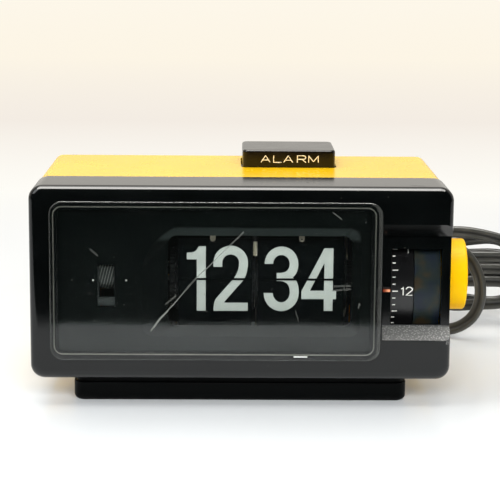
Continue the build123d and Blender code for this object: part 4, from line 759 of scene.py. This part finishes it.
def bend(start, pull, end, steps=7):
    """Points along a curve that leaves start towards pull and arrives at end from it."""
    return [tuple((1 - t) ** 2 * a + 2 * t * (1 - t) * b + t * t * c
                  for a, b, c in zip(start, pull, end))
            for t in (step / steps for step in range(steps + 1))]


one = [[(-23.5, 63.9), *bend((-21.2, 64.0), (-19.3, 64.3), (-18.35, 66.75)), (-15.25, 66.75),
        (-15.25, 37.93), (-19.15, 37.93), (-19.15, 60.9), (-23.5, 60.9)]]
two = [[(-11.9, 57.65), *arc(-4.38, 59.6, 7.52, 7.45, 180, 0),
        *bend((3.14, 59.5), (3.14, 55.4), (1.3, 51.8)), (-7.06, 42.0), (-6.9, 41.57),
        (3.17, 41.57), (3.17, 37.93), (-11.82, 37.93),
        *bend((-11.82, 38.2), (-11.8, 41.9), (-10.6, 43.6)), (-4.0, 51.3),
        *bend((-3.7, 51.6), (-0.74, 55.2), (-0.74, 59.5)),
        *arc(-4.4, 59.6, 3.66, 3.56, 0, 180), (-8.06, 57.65)]]
three = [[(10.5, 59.08), *arc(17.72, 59.1, 7.35, 7.7, 178, 0),
          *bend((25.07, 59.0), (25.07, 55.0), (22.69, 53.14)),
          *bend((22.69, 53.1), (25.43, 51.4), (25.43, 46.2)),
          *arc(17.75, 46.0, 7.68, 8.1, 0, -180), (14.04, 46.0),
          *arc(17.77, 46.2, 3.73, 4.4, 180, 360),
          *bend((21.5, 46.4), (21.5, 51.3), (17.0, 51.35)), (15.7, 51.35), (15.7, 55.07),
          *bend((17.0, 55.07), (21.3, 55.2), (21.3, 59.0)),
          *arc(17.7, 59.1, 3.6, 3.94, 0, 180)]]
four = [[(36.35, 66.1), (40.3, 66.1), (40.3, 47.1), (41.75, 47.1), (41.75, 43.36),
         (40.3, 43.36), (40.3, 38.1), (36.45, 38.1), (36.45, 43.36), (26.6, 43.36),
         (26.6, 46.85)], [(36.45, 59.6), (30.3, 47.1), (36.45, 47.1)]]
five = [[(28.4, 66.4), (40.6, 66.4), (40.6, 62.7), (31.7, 62.7), (31.2, 55.2),
         *bend((31.4, 55.3), (32.6, 56.5), (34.6, 56.6)),
         *arc(34.4, 47.2, 7.35, 9.4, 86, -170), (30.9, 45.6),
         *arc(34.4, 47.2, 3.5, 5.6, -162, 145), (31.3, 51.0), (27.6, 51.6)]]
split_z, above_split, below_split = 52.25, 0.28, 0.22
leaf_hinge_y, leaf_thick, ink_thick = -35.6, 0.2, 0.012


def shifted(glyph, across):
    return [[(x + across, z) for x, z in loop] for loop in glyph]


def print_half(name, glyphs, upper, y, rides, on_back=False):
    """Half of a number in raised ink, on the front of a leaf or turned over to its back."""
    outline = bpy.data.curves.new(name, "CURVE")
    outline.dimensions, outline.fill_mode = "2D", "BOTH"
    outline.extrude = ink_thick * MM
    for loop in (loop for glyph in glyphs for loop in glyph):
        path = outline.splines.new("POLY")
        path.points.add(len(loop) - 1)
        for point, (x, z) in zip(path.points, loop):
            point.co = (x * MM, z * MM, 0, 1)
        path.use_cyclic_u = True
    piece = bpy.data.objects.new(name, outline)
    scene.collection.objects.link(piece)
    select_only(piece)
    bpy.ops.object.convert(target="MESH")
    piece = bpy.context.object
    piece.rotation_euler = (pi / 2, 0, 0)
    settle(piece)
    edit_all()
    bpy.ops.mesh.bisect(
        plane_co=(0, 0, (split_z + (above_split if upper else -below_split)) * MM),
        plane_no=(0, 0, 1), clear_inner=upper, clear_outer=not upper, use_fill=True)
    leave_edit()
    if on_back:
        piece.rotation_euler = (pi, 0, 0)
        piece.location = (0, 0, 2 * split_z * MM)
        settle(piece)
    piece.location = (0, y * MM, 0)
    settle(piece)
    piece.data.materials.append(number_ink)
    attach(piece, rides)


def box(name, centre, size):
    """A new box, from its middle and its three sides, in millimetres."""
    bpy.ops.object.select_all(action="DESELECT")
    bpy.ops.mesh.primitive_cube_add(size=1, location=[way * MM for way in centre])
    piece = bpy.context.object
    piece.name = name
    piece.scale = [side * MM for side in size]
    settle(piece)
    return piece


# behind each leaf that is about to fall stands the next one, with its own upper half
next_front_y, next_top, next_inset, next_eased = leaf_hinge_y + 0.7, 68.6, 0.3, 0.04
for name, like in (("hour_next_leaf", "hour_falling_leaf"),
                   ("minute_next_leaf", "minute_falling_leaf")):
    like_low, like_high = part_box(like)
    left, right, foot = like_low[0] / MM, like_high[0] / MM, like_low[2] / MM
    leaf = box(name, ((left + right) / 2, next_front_y + leaf_thick / 2,
                      (foot + next_inset + next_top) / 2),
               (right - left, leaf_thick, next_top - foot - next_inset))
    ease_edges(next_eased, 1)
    leaf.data.materials.append(leaf_black)
    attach(leaf, "case")

# where the ink of each half lies
falling_y, fallen_y = leaf_hinge_y - leaf_thick - ink_thick, leaf_hinge_y + 0.5 - ink_thick
next_y, back_y = next_front_y - ink_thick, leaf_hinge_y + leaf_thick + ink_thick
print_half("hour_upper_print", [one, two], True, falling_y, "hour_flap")
print_half("hour_lower_print", [one, two], False, fallen_y, "case")
print_half("hour_back_print", [shifted(one, 11)], False, back_y, "hour_flap", on_back=True)
print_half("hour_next_print", [shifted(one, 11)], True, next_y, "case")
print_half("minute_upper_print", [three, four], True, falling_y, "minute_flap")
print_half("minute_lower_print", [three, four], False, fallen_y, "case")
print_half("minute_next_print", [three, five], True, next_y, "case")
print_half("minute_back_print", [three, five], False, back_y, "minute_flap", on_back=True)

# ---------------------------------------------------------------- catches and glow lamp
# A springy finger of pale plastic holds each upper leaf by its notch until its time comes.
# Between the two numbers stands a small neon lamp in clouded glass, in a black holder.
finger = Finish("aged_cream_plastic")
stain = finger.noise(0.0025, 4.0)
hour_tip_x, minute_tip_x, tip_z = -12.2, 26.5, 70.0
finger_x, finger_z = finger.axis("X"), finger.axis("Z") - tip_z
stud_x = finger_x - minute_tip_x
stud_square, tip_square = 0.12, 1.25     # the squares of two radii
stud = (stud_x * stud_x + finger_z * finger_z) < stud_square
# the tip is rounded, and the film's black shows at its corners
tip_x = abs(stud_x).least(abs(finger_x - hour_tip_x))
tip_corner = (finger_z < 0) * ((tip_x * tip_x + finger_z * finger_z) > tip_square)
catch_pale = finger.surface(
    Base_Color=finger.blend(stud.most(tip_corner), finger.tones(
        stain, (0.3, 150, 140, 122), (0.7, 188, 178, 158)), rgb(12, 13, 13)),
    Roughness=0.46 + stain * 0.12, Normal=finger.bump(stain, 0.00003, 0.4))
coat(catch_pale, "hour_catch", "minute_catch")
neon = Finish("clouded_neon_glass")
streaks = neon.streaks((900, 900, 60), 1.0, 2.0)
lamp_glass = neon.even(
    streaks, [(0.35, 98, 92, 74), (0.55, 160, 154, 134), (0.7, 196, 192, 176)],
    (0.18, 0.1), (0.00002, 0.4), Coat_Weight=0.6)
coat(lamp_glass, "glow_lamp")

# ---------------------------------------------------------------- alarm drum
# A wheel set from the side shows the alarm time. Its left part is gloss black with white
# printed ticks, six to the hour, and its right part is a brushed grip for the thumb.
dial = Finish("gloss_black_drum")
dial_cloud = dial.noise(0.01, 4.0)
drum_black = dial.surface(
    Base_Color=dial.tones(dial_cloud, (0.3, 9, 9, 10), (0.7, 18, 18, 19)),
    Roughness=0.24 + dial_cloud * 0.14, IOR=1.6,
    Normal=dial.bump(dial.noise(0.0009, 2.0), 0.000015, 0.5))
coat(drum_black, "alarm_dial", "alarm_cam")

brushed = Finish("brushed_drum_grip")
brush_marks = brushed.streaks((70, 1500, 1500), 1.0, 3.0)
oil = brushed.noise(0.009, 2.0)
grip_colour = brushed.tones(oil, (0.3, 16, 22, 46), (0.43, 20, 34, 42), (0.52, 30, 40, 36),
                            (0.62, 58, 46, 26), (0.75, 36, 36, 36))
grip_dark = brushed.surface(
    Base_Color=brushed.blend(brush_marks * 0.5, grip_colour, rgb(40, 42, 42)),
    Metallic=0.25, Roughness=0.3 + brush_marks * 0.25,
    Normal=brushed.bump(brush_marks, 0.00004, 0.8))
coat(grip_dark, "alarm_grip")

drum_low, drum_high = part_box("alarm_dial")
drum_centre = Vector((0, (drum_low[1] + drum_high[1]) / 2, (drum_low[2] + drum_high[2]) / 2))
drum_radius = (drum_high[2] - drum_low[2]) / 2
noon = 1.6      # degrees that the twelve stands below the front of the drum

paint = Finish("white_dial_paint")
paint_pits = paint.noise(0.0006, 3.0)
dial_white = paint.even(paint_pits, [(0.3, 206, 206, 198), (0.6, 232, 232, 226)],
                        (0.45, 0.1), (0.00001, 0.5))


def lay_on_drum(piece, angle):
    """Wraps a print, drawn flat before the drum's front, round the drum at an angle."""
    for vertex in piece.data.vertices:
        rise = (vertex.co.z - drum_centre.z) / drum_radius + radians(angle)
        reach = drum_centre.y - vertex.co.y
        vertex.co.y = drum_centre.y - reach * cos(rise)
        vertex.co.z = drum_centre.z + reach * sin(rise)


def copy_of(piece):
    """A copy of a piece, with its own mesh."""
    twin = piece.copy()
    twin.data = piece.data.copy()
    scene.collection.objects.link(twin)
    return twin


dial_front, dial_level = (drum_centre.y - drum_radius) / MM, drum_centre.z / MM
tick_left, tick_raised = 65.35, 0.05
tick_sizes, tick_count = ((2.4, 0.46), (1.35, 0.42)), 72
flat_ticks = []
for width, thick in tick_sizes:
    flat_ticks.append(box("tick", (tick_left + width / 2, dial_front, dial_level),
                          (width, tick_raised, thick)))
    ease_edges(0.1, 2)
long_tick, short_tick = flat_ticks
drum_signs = []
for step in range(tick_count):      # every ten minutes, a longer one every half hour
    tick = copy_of(short_tick if step % 3 else long_tick)
    lay_on_drum(tick, 360 / tick_count * step - noon)
    drum_signs.append(tick)
for tick in flat_ticks:
    bpy.data.objects.remove(tick)


def join(pieces, name):
    """Makes several pieces one, under a new name."""
    select_only(pieces[0])
    for piece in pieces:
        piece.select_set(True)
    bpy.ops.object.join()
    pieces[0].name = name
    return pieces[0]


def ring(x, z, wide, tall):
    return arc(x, z, wide, tall, 90, 450, 20)


stroke_depth = 0.12     # a stroke's depth, as a share of its width
strokes = {
    "0": [ring(0.28, 0.5, 0.28, 0.5)],
    "1": [[(0.0, 0.78), (0.15, 0.83), (0.22, 1.0), (0.22, 0.0)]],
    "2": [[*arc(0.28, 0.72, 0.27, 0.28, 175, -28), (0.0, 0.0), (0.56, 0.0)]],
    "3": [[*arc(0.27, 0.76, 0.24, 0.24, 165, -80), *arc(0.26, 0.26, 0.29, 0.26, 80, -165)]],
    "4": [[(0.43, 0.0), (0.43, 1.0), (0.0, 0.28), (0.6, 0.28)]],
    "5": [[(0.5, 1.0), (0.1, 1.0), (0.04, 0.54), *arc(0.26, 0.32, 0.28, 0.32, 125, -160)]],
    "6": [bend((0.5, 0.9), (0.0, 1.2), (0.0, 0.34)), ring(0.28, 0.32, 0.28, 0.32)],
    "7": [[(0.0, 1.0), (0.56, 1.0), (0.2, 0.0)]],
    "8": [ring(0.28, 0.76, 0.23, 0.24), ring(0.28, 0.26, 0.28, 0.26)],
    "9": [ring(0.28, 0.68, 0.28, 0.32), bend((0.56, 0.68), (0.56, -0.2), (0.06, 0.1))],
    "A": [[(0.0, 0.0), (0.5, 1.0), (1.0, 0.0)], [(0.19, 0.34), (0.81, 0.34)]],
    "L": [[(0.0, 1.0), (0.0, 0.0), (0.86, 0.0)]],
    "R": [[(0.0, 0.0), (0.0, 1.0), (0.6, 1.0), *arc(0.62, 0.74, 0.3, 0.26, 80, -80),
           (0.0, 0.48)], [(0.5, 0.48), (0.94, 0.0)]],
    "M": [[(0.0, 0.0), (0.0, 1.0), (0.52, 0.12), (1.04, 1.0), (1.04, 0.0)]],
}


def letter(sign, x, y, z, wide, tall, thick):
    """A printed sign of even strokes, from its lower left corner, in millimetres."""
    pen = bpy.data.curves.new("sign", "CURVE")
    pen.dimensions, pen.bevel_depth, pen.bevel_resolution = "3D", thick / 2 * MM, 1
    pen.use_fill_caps = True
    for stroke in strokes[sign]:
        path = pen.splines.new("POLY")
        fine = []       # the stroke with its upright lines cut up, to bend round the drum
        for start, end in zip(stroke, stroke[1:]):
            cuts = max(1, round(abs(end[1] - start[1]) * 6))
            fine += [[a + (b - a) * cut / cuts for a, b in zip(start, end)]
                     for cut in range(cuts)]
        fine.append(stroke[-1])
        path.points.add(len(fine) - 1)
        for point, (across, up) in zip(path.points, fine):
            point.co = ((x + across * wide) * MM, y * MM, (z + up * tall) * MM, 1)
    sketch = bpy.data.objects.new("sign", pen)
    scene.collection.objects.link(sketch)
    select_only(sketch)
    bpy.ops.object.convert(target="MESH")
    sketch = bpy.context.object
    # the round strokes are pressed nearly flat
    for vertex in sketch.data.vertices:
        vertex.co.y = y * MM + (vertex.co.y - y * MM) * stroke_depth
    return sketch


figure_wide, one_wide, figure_tall, figure_step, figure_thick = 4.9, 4.2, 3.6, 2.15, 0.56
pair_left, single_left = 69.1, 71.3
for hour in range(1, 13):
    signs = str(hour)
    left = pair_left if len(signs) == 2 else single_left
    for place, sign in enumerate(signs):
        figure = letter(sign, left + place * figure_step, dial_front,
                        dial_level - figure_tall / 2, one_wide if sign == "1" else figure_wide,
                        figure_tall, figure_thick)
        lay_on_drum(figure, 30 * (hour % 12) - noon)
        drum_signs.append(figure)
drum_print = join(drum_signs, "drum_print")
drum_print.data.materials.clear()
drum_print.data.materials.append(dial_white)
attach(drum_print, "alarm_drum")

# The fixed pointer beside the drum is a tongue of orange-brown acrylic, worn pale at its
# end, on the lever that the drum's cam lifts.
tongue = Finish("orange_brown_acrylic")
tongue_cloud = tongue.noise(0.002, 3.0)
pale_from, pale_to, shade_top, shade_foot = 61.8, 63.2, 50.9, 50.5
tongue_end = tongue.range(tongue.axis("X"), pale_from, pale_to, 0.0, 1.0)
# the tongue is darkened towards its top, painted shade
tongue_painted_shade = tongue.range(tongue.axis("Z"), shade_top, shade_foot, 1.0, 0.0)
tongue_colour = tongue.blend(tongue_end * 0.9, tongue.tones(
    tongue_cloud, (0.3, 96, 28, 4), (0.7, 140, 50, 10)), rgb(236, 158, 116))
pointer_orange = tongue.surface(
    Base_Color=tongue.blend(tongue_painted_shade, tongue_colour, rgb(18, 8, 5)),
    Roughness=0.3 + tongue_cloud * 0.1)
coat(pointer_orange, "alarm_pointer")

# ---------------------------------------------------------------- running indicator
# A little white-striped roller turns behind a slot to show that the clock is running. A
# round rubber belt drives it from the motor.
roller = Finish("striped_roller")
roller_low, roller_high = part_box("indicator_roller")
about_y = roller.axis("Y") - (roller_low[1] + roller_high[1]) / 2 / MM
about_z = roller.axis("Z") - (roller_low[2] + roller_high[2]) / 2 / MM
way_round = about_y.math("ARCTAN2", about_z, about_y) * (0.5 / pi)
stripe_count, stripe_lean = 9, 0.83     # lean is in turns of the pattern per millimetre
helix = way_round * stripe_count + roller.axis("X") * stripe_lean
stripe = helix.math("FRACT", helix)
stripe_from, stripe_to = 0.42, 0.62
stripes = (stripe > stripe_from) * (stripe < stripe_to)
roller_dark = roller.surface(
    Base_Color=roller.blend(stripes * (roller.noise(0.002, 2.0) * 0.5 + 0.35),
                            rgb(20, 24, 24), rgb(150, 152, 146)),
    Roughness=0.4 + stripes * 0.1)
coat(roller_dark, "indicator_roller")
rubber = Finish("black_rubber")
bloom = rubber.noise(0.003, 4.0)
belt_rubber = rubber.even(bloom, [(0.3, 20, 20, 20), (0.75, 52, 51, 49)],
                          (0.7, 0.2), (0.00004, 0.6))
coat(belt_rubber, "drive_belt")
block = Finish("grey_moulded_bracket")
block_cloud = block.noise(0.004, 3.0)
bracket_grey = block.even(block_cloud, [(0.3, 34, 38, 38), (0.7, 58, 62, 61)],
                          (0.5, 0.1), (0.00003, 0.5))
coat(bracket_grey, "roller_bracket", "alarm_lever", "button_guide")

# ---------------------------------------------------------------- motor, buzzer and switch
# A synchronous motor in a drawn steel can turns the works. The buzzer is a coil of
# enamelled copper wire under a steel reed, and a small black switch starts it.
can = Finish("drawn_steel_can")
drawn = can.streaks((8, 1, 1), 120.0, 4.0)
motor_steel = can.even(drawn, [(0.3, 120, 122, 122), (0.7, 156, 157, 154)],
                       (0.28, 0.16), (0.00002, 0.5), Metallic=1.0)
coat(motor_steel, "motor_can")
winding = Finish("enamelled_copper_wire")
turns = winding.node("TexWave", {"wave_type": "BANDS", "bands_direction": "Z"}, {
    "Vector": winding.place(), "Scale": 620.0, "Distortion": 0.6, "Detail": 1.0},
    output=1)
coil_copper = winding.even(turns, [(0.2, 92, 40, 18), (0.8, 190, 98, 48)],
                           (0.3, 0.1), (0.0001, 0.8), Metallic=0.8)
coat(coil_copper, "buzzer_coil")
phenolic = Finish("black_phenolic")
swirl = phenolic.noise(0.003, 5.0)
switch_black = phenolic.even(swirl, [(0.3, 22, 19, 17), (0.7, 40, 34, 30)],
                             (0.35, 0.15), (0.00002, 0.5))
coat(switch_black, "alarm_switch")

# ---------------------------------------------------------------- alarm button
# A broad push button of very dark brown styrene stands through the top of the rear shell,
# on two springs. Its front carries the word ALARM in thin wide printed letters.
press = Finish("dark_brown_styrene")
press_wear = press.noise(0.01, 5.0, 0.65)
button_black = press.surface(
    Base_Color=press.tones(press_wear, (0.3, 9, 7, 5), (0.65, 17, 13, 9), (0.85, 34, 28, 22)),
    Roughness=0.1 + press_wear * 0.14, IOR=1.45,
    Normal=press.bump(press.noise(0.003, 2.0), 0.00003, 0.4))
coat(button_black, "alarm_button")
button_flange = 1.6     # the button's skirt, under the shell, stands out this far
button_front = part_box("alarm_button")[0][1] / MM + button_flange
word_foot, sign_wide, sign_tall, sign_thick = 97.3, 4.2, 3.1, 0.42
word = join([letter(sign, left, button_front, word_foot, sign_wide, sign_tall, sign_thick)
             for left, sign in zip((9.3, 15.1, 19.7, 26.0, 31.2), "ALARM")], "alarm_word")
word.data.materials.clear()
foil = Finish("cream_print")
foil_wear = foil.noise(0.0008, 3.0)
word.data.materials.append(foil.even(
    foil_wear, [(0.3, 222, 200, 152), (0.6, 246, 230, 190)], (0.4, 0.1), (0.00001, 0.5)))
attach(word, "button")

# Under the button stand two coils of steel wire.
wire, coil_turns = 0.5 * MM, 7
springs_low, springs_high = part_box("button_springs")
springs_tall = springs_high[2] - springs_low[2]
coil_wide = springs_high[1] - springs_low[1]
bpy.ops.object.select_all(action="DESELECT")
bpy.ops.mesh.primitive_circle_add(vertices=8, radius=wire / 2, rotation=(pi / 2, 0, 0),
                                  location=((coil_wide - wire) / 2, 0, 0))
coil = bpy.context.object
settle(coil)
apply_modifier(coil, "SCREW", screw_offset=(springs_tall - wire) / coil_turns,
               iterations=coil_turns, steps=20, render_steps=20)
edit_all()
bpy.ops.mesh.fill_holes(sides=0)
bpy.ops.mesh.normals_make_consistent(inside=False)
leave_edit()
coils = [coil, copy_of(coil)]
for coil, coil_x in zip(coils, (springs_low[0] + coil_wide / 2,
                                springs_high[0] - coil_wide / 2)):
    coil.location = (coil_x, (springs_low[1] + springs_high[1]) / 2, springs_low[2] + wire / 2)
    settle(coil)
springs = join(coils, "button_coils")
bpy.ops.object.shade_smooth_by_angle(angle=radians(40))
springs.data.materials.append(turned_steel)
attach(springs, "case")
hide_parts("button_springs")
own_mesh(springs)

# ---------------------------------------------------------------- setting knob
# A plain smooth knob of the rear shell's yellow plastic is pushed on the end of the
# setting shaft, outside the right wall. Fingers have polished it.
cap = Finish("polished_yellow_abs")
cap_cloud = cap.noise(0.008, 4.0)
cap_turning = cap.streaks((40, 1, 1), 40.0, 2.0)
knob_yellow = cap.surface(
    Base_Color=cap.tones(cap_cloud, (0.3, 250, 188, 2), (0.7, 254, 200, 8)),
    Roughness=0.42 + cap_cloud * 0.1, IOR=1.2,
    Normal=cap.bump(cap_turning, 0.00002, 0.4))
coat(knob_yellow, "time_knob")

# ---------------------------------------------------------------- cord boot
# Where the cord leaves the rear shell it is held in a soft black vinyl boot, moulded with
# a flange that sits inside the wall and grooves that let it bend with the cord.
(boot_x, _, boot_z), wall_y = cord_route[0], 54.4
flange_radius, flange_thick, neck_radius = 6.4, 2.0, 5.3
rib_count, groove_deep, taper = 6, 0.9, 0.2
bpy.ops.object.select_all(action="DESELECT")
bpy.ops.mesh.primitive_cylinder_add(
    vertices=36, radius=flange_radius * MM, depth=flange_thick * MM, rotation=(-pi / 2, 0, 0),
    location=(boot_x * MM, (wall_y - flange_thick / 2) * MM, boot_z * MM))
boot = bpy.context.object
boot.name = "ribbed_cord_boot"
settle(boot)
# each step goes so far along the cord, and ends at a radius
boot_steps = [(0.0, neck_radius), (2.4, neck_radius)]
for rib in range(rib_count):
    wide = neck_radius - taper * (rib + 1)
    boot_steps += [(0.0, wide - groove_deep), (1.2, wide - groove_deep), (0.0, wide),
                   (2.0, wide)]
boot_steps += [(0.0, 3.7), (1.6, 3.7), (0.4, 3.4)]
pick(boot, lambda point: point.y > (wall_y - 0.1) * MM)
bpy.ops.object.mode_set(mode="EDIT")
bpy.ops.mesh.select_mode(type="FACE")
along, broad = wall_y, flange_radius
for advance, radius in boot_steps:
    along += advance
    bpy.ops.mesh.extrude_region_move(TRANSFORM_OT_translate={"value": (0, advance * MM, 0)})
    bpy.ops.transform.resize(value=(radius / broad, 1, radius / broad), center_override=(
        boot_x * MM, along * MM, boot_z * MM))
    broad = radius
bpy.ops.mesh.select_all(action="SELECT")
bpy.ops.mesh.remove_doubles(threshold=0.01 * MM)
bpy.ops.mesh.normals_make_consistent(inside=False)
leave_edit()
apply_modifier(boot, "BEVEL", width=0.25 * MM, segments=2, angle_limit=radians(40))
bpy.ops.object.shade_smooth_by_angle(angle=radians(35))
soft = Finish("soft_black_vinyl")
soft_cloud = soft.noise(0.003, 4.0)
dusty = soft.cells(900.0)
plug_dark = soft.surface(
    Base_Color=soft.blend((dusty < 0.1) * 0.3, soft.tones(
        soft_cloud, (0.3, 24, 25, 24), (0.7, 42, 42, 39)), rgb(110, 108, 100)),
    Roughness=0.42 + soft_cloud * 0.2, Normal=soft.bump(dusty, 0.00003, 0.5))
boot.data.materials.append(plug_dark)
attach(boot, "case")
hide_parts("cord_boot")

# ---------------------------------------------------------------- hank tie and plug
# The spare cord is folded and held by a strap of black nylon pulled through its own head.
# The plug is moulded on the cord in the same soft vinyl, and has two plated brass blades.
strap_tall, strap_wide, strap_broad, strap_thick, strap_z = 19.5, 14.4, 4.2, 1.0, 22.3
strap_top, head_y, strap_round = strap_z + strap_tall / 2, hank_y - 3, 1.8
strap = box("hank_strap", (tie_x, hank_y, strap_z), (strap_broad, strap_wide, strap_tall))
pick(strap, lambda point: False)
for edge in strap.data.edges:
    first, second = (strap.data.vertices[v].co for v in edge.vertices)
    edge.select = abs(first.x - second.x) > 1 * MM
bpy.ops.object.mode_set(mode="EDIT")
bpy.ops.mesh.select_mode(type="EDGE")
bpy.ops.mesh.bevel(offset=strap_round * MM, segments=6)
leave_edit()
for polygon in strap.data.polygons:
    polygon.select = abs(polygon.normal.x) > 0.9
bpy.ops.object.mode_set(mode="EDIT")
bpy.ops.mesh.select_mode(type="FACE")
bpy.ops.mesh.delete(type="FACE")
leave_edit()
apply_modifier(strap, "SOLIDIFY", thickness=strap_thick * MM, offset=1.0)
head = box("strap_head", (tie_x, head_y, strap_top + 2.2), (6.0, 5.4, 3.6))
ease_edges(0.5, 2)
end = box("strap_end", (tie_x, head_y + 1.2, strap_top + 4.6), (4.0, 1.0, 7.0))
ease_edges(0.25, 2)
join([strap, head, end], "hank_strap")
apply_modifier(strap, "BEVEL", width=0.2 * MM, segments=2, angle_limit=radians(50))
bpy.ops.object.shade_smooth_by_angle(angle=radians(35))
nylon_strap = Finish("black_nylon_strap")
teeth = nylon_strap.node("TexWave", {"wave_type": "BANDS", "bands_direction": "Z"}, {
    "Vector": nylon_strap.place(), "Scale": 280.0}, output=1)
strap_cloud = nylon_strap.noise(0.003, 3.0)
tie_black = nylon_strap.surface(
    Base_Color=nylon_strap.tones(strap_cloud, (0.3, 20, 20, 20), (0.7, 34, 34, 33)),
    Roughness=0.34 + strap_cloud * 0.14, Normal=nylon_strap.bump(teeth, 0.00012, 0.6))
strap.data.materials.append(tie_black)
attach(strap, "case")
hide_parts("hank_tie")

coat(plug_dark, "plug_body", "cord_boot")
plated = Finish("plated_brass")
handling = plated.noise(0.004, 4.0, 0.6)
blade_brass = plated.even(handling, [(0.3, 190, 178, 140), (0.7, 214, 208, 190)],
                          (0.22, 0.2), (0.00002, 0.4), Metallic=1.0)
coat(blade_brass, "plug_blades")
coat(tie_black, "hank_tie")
coat(cord_grey, "mains_cord", "cord_tail", "cord_hank")
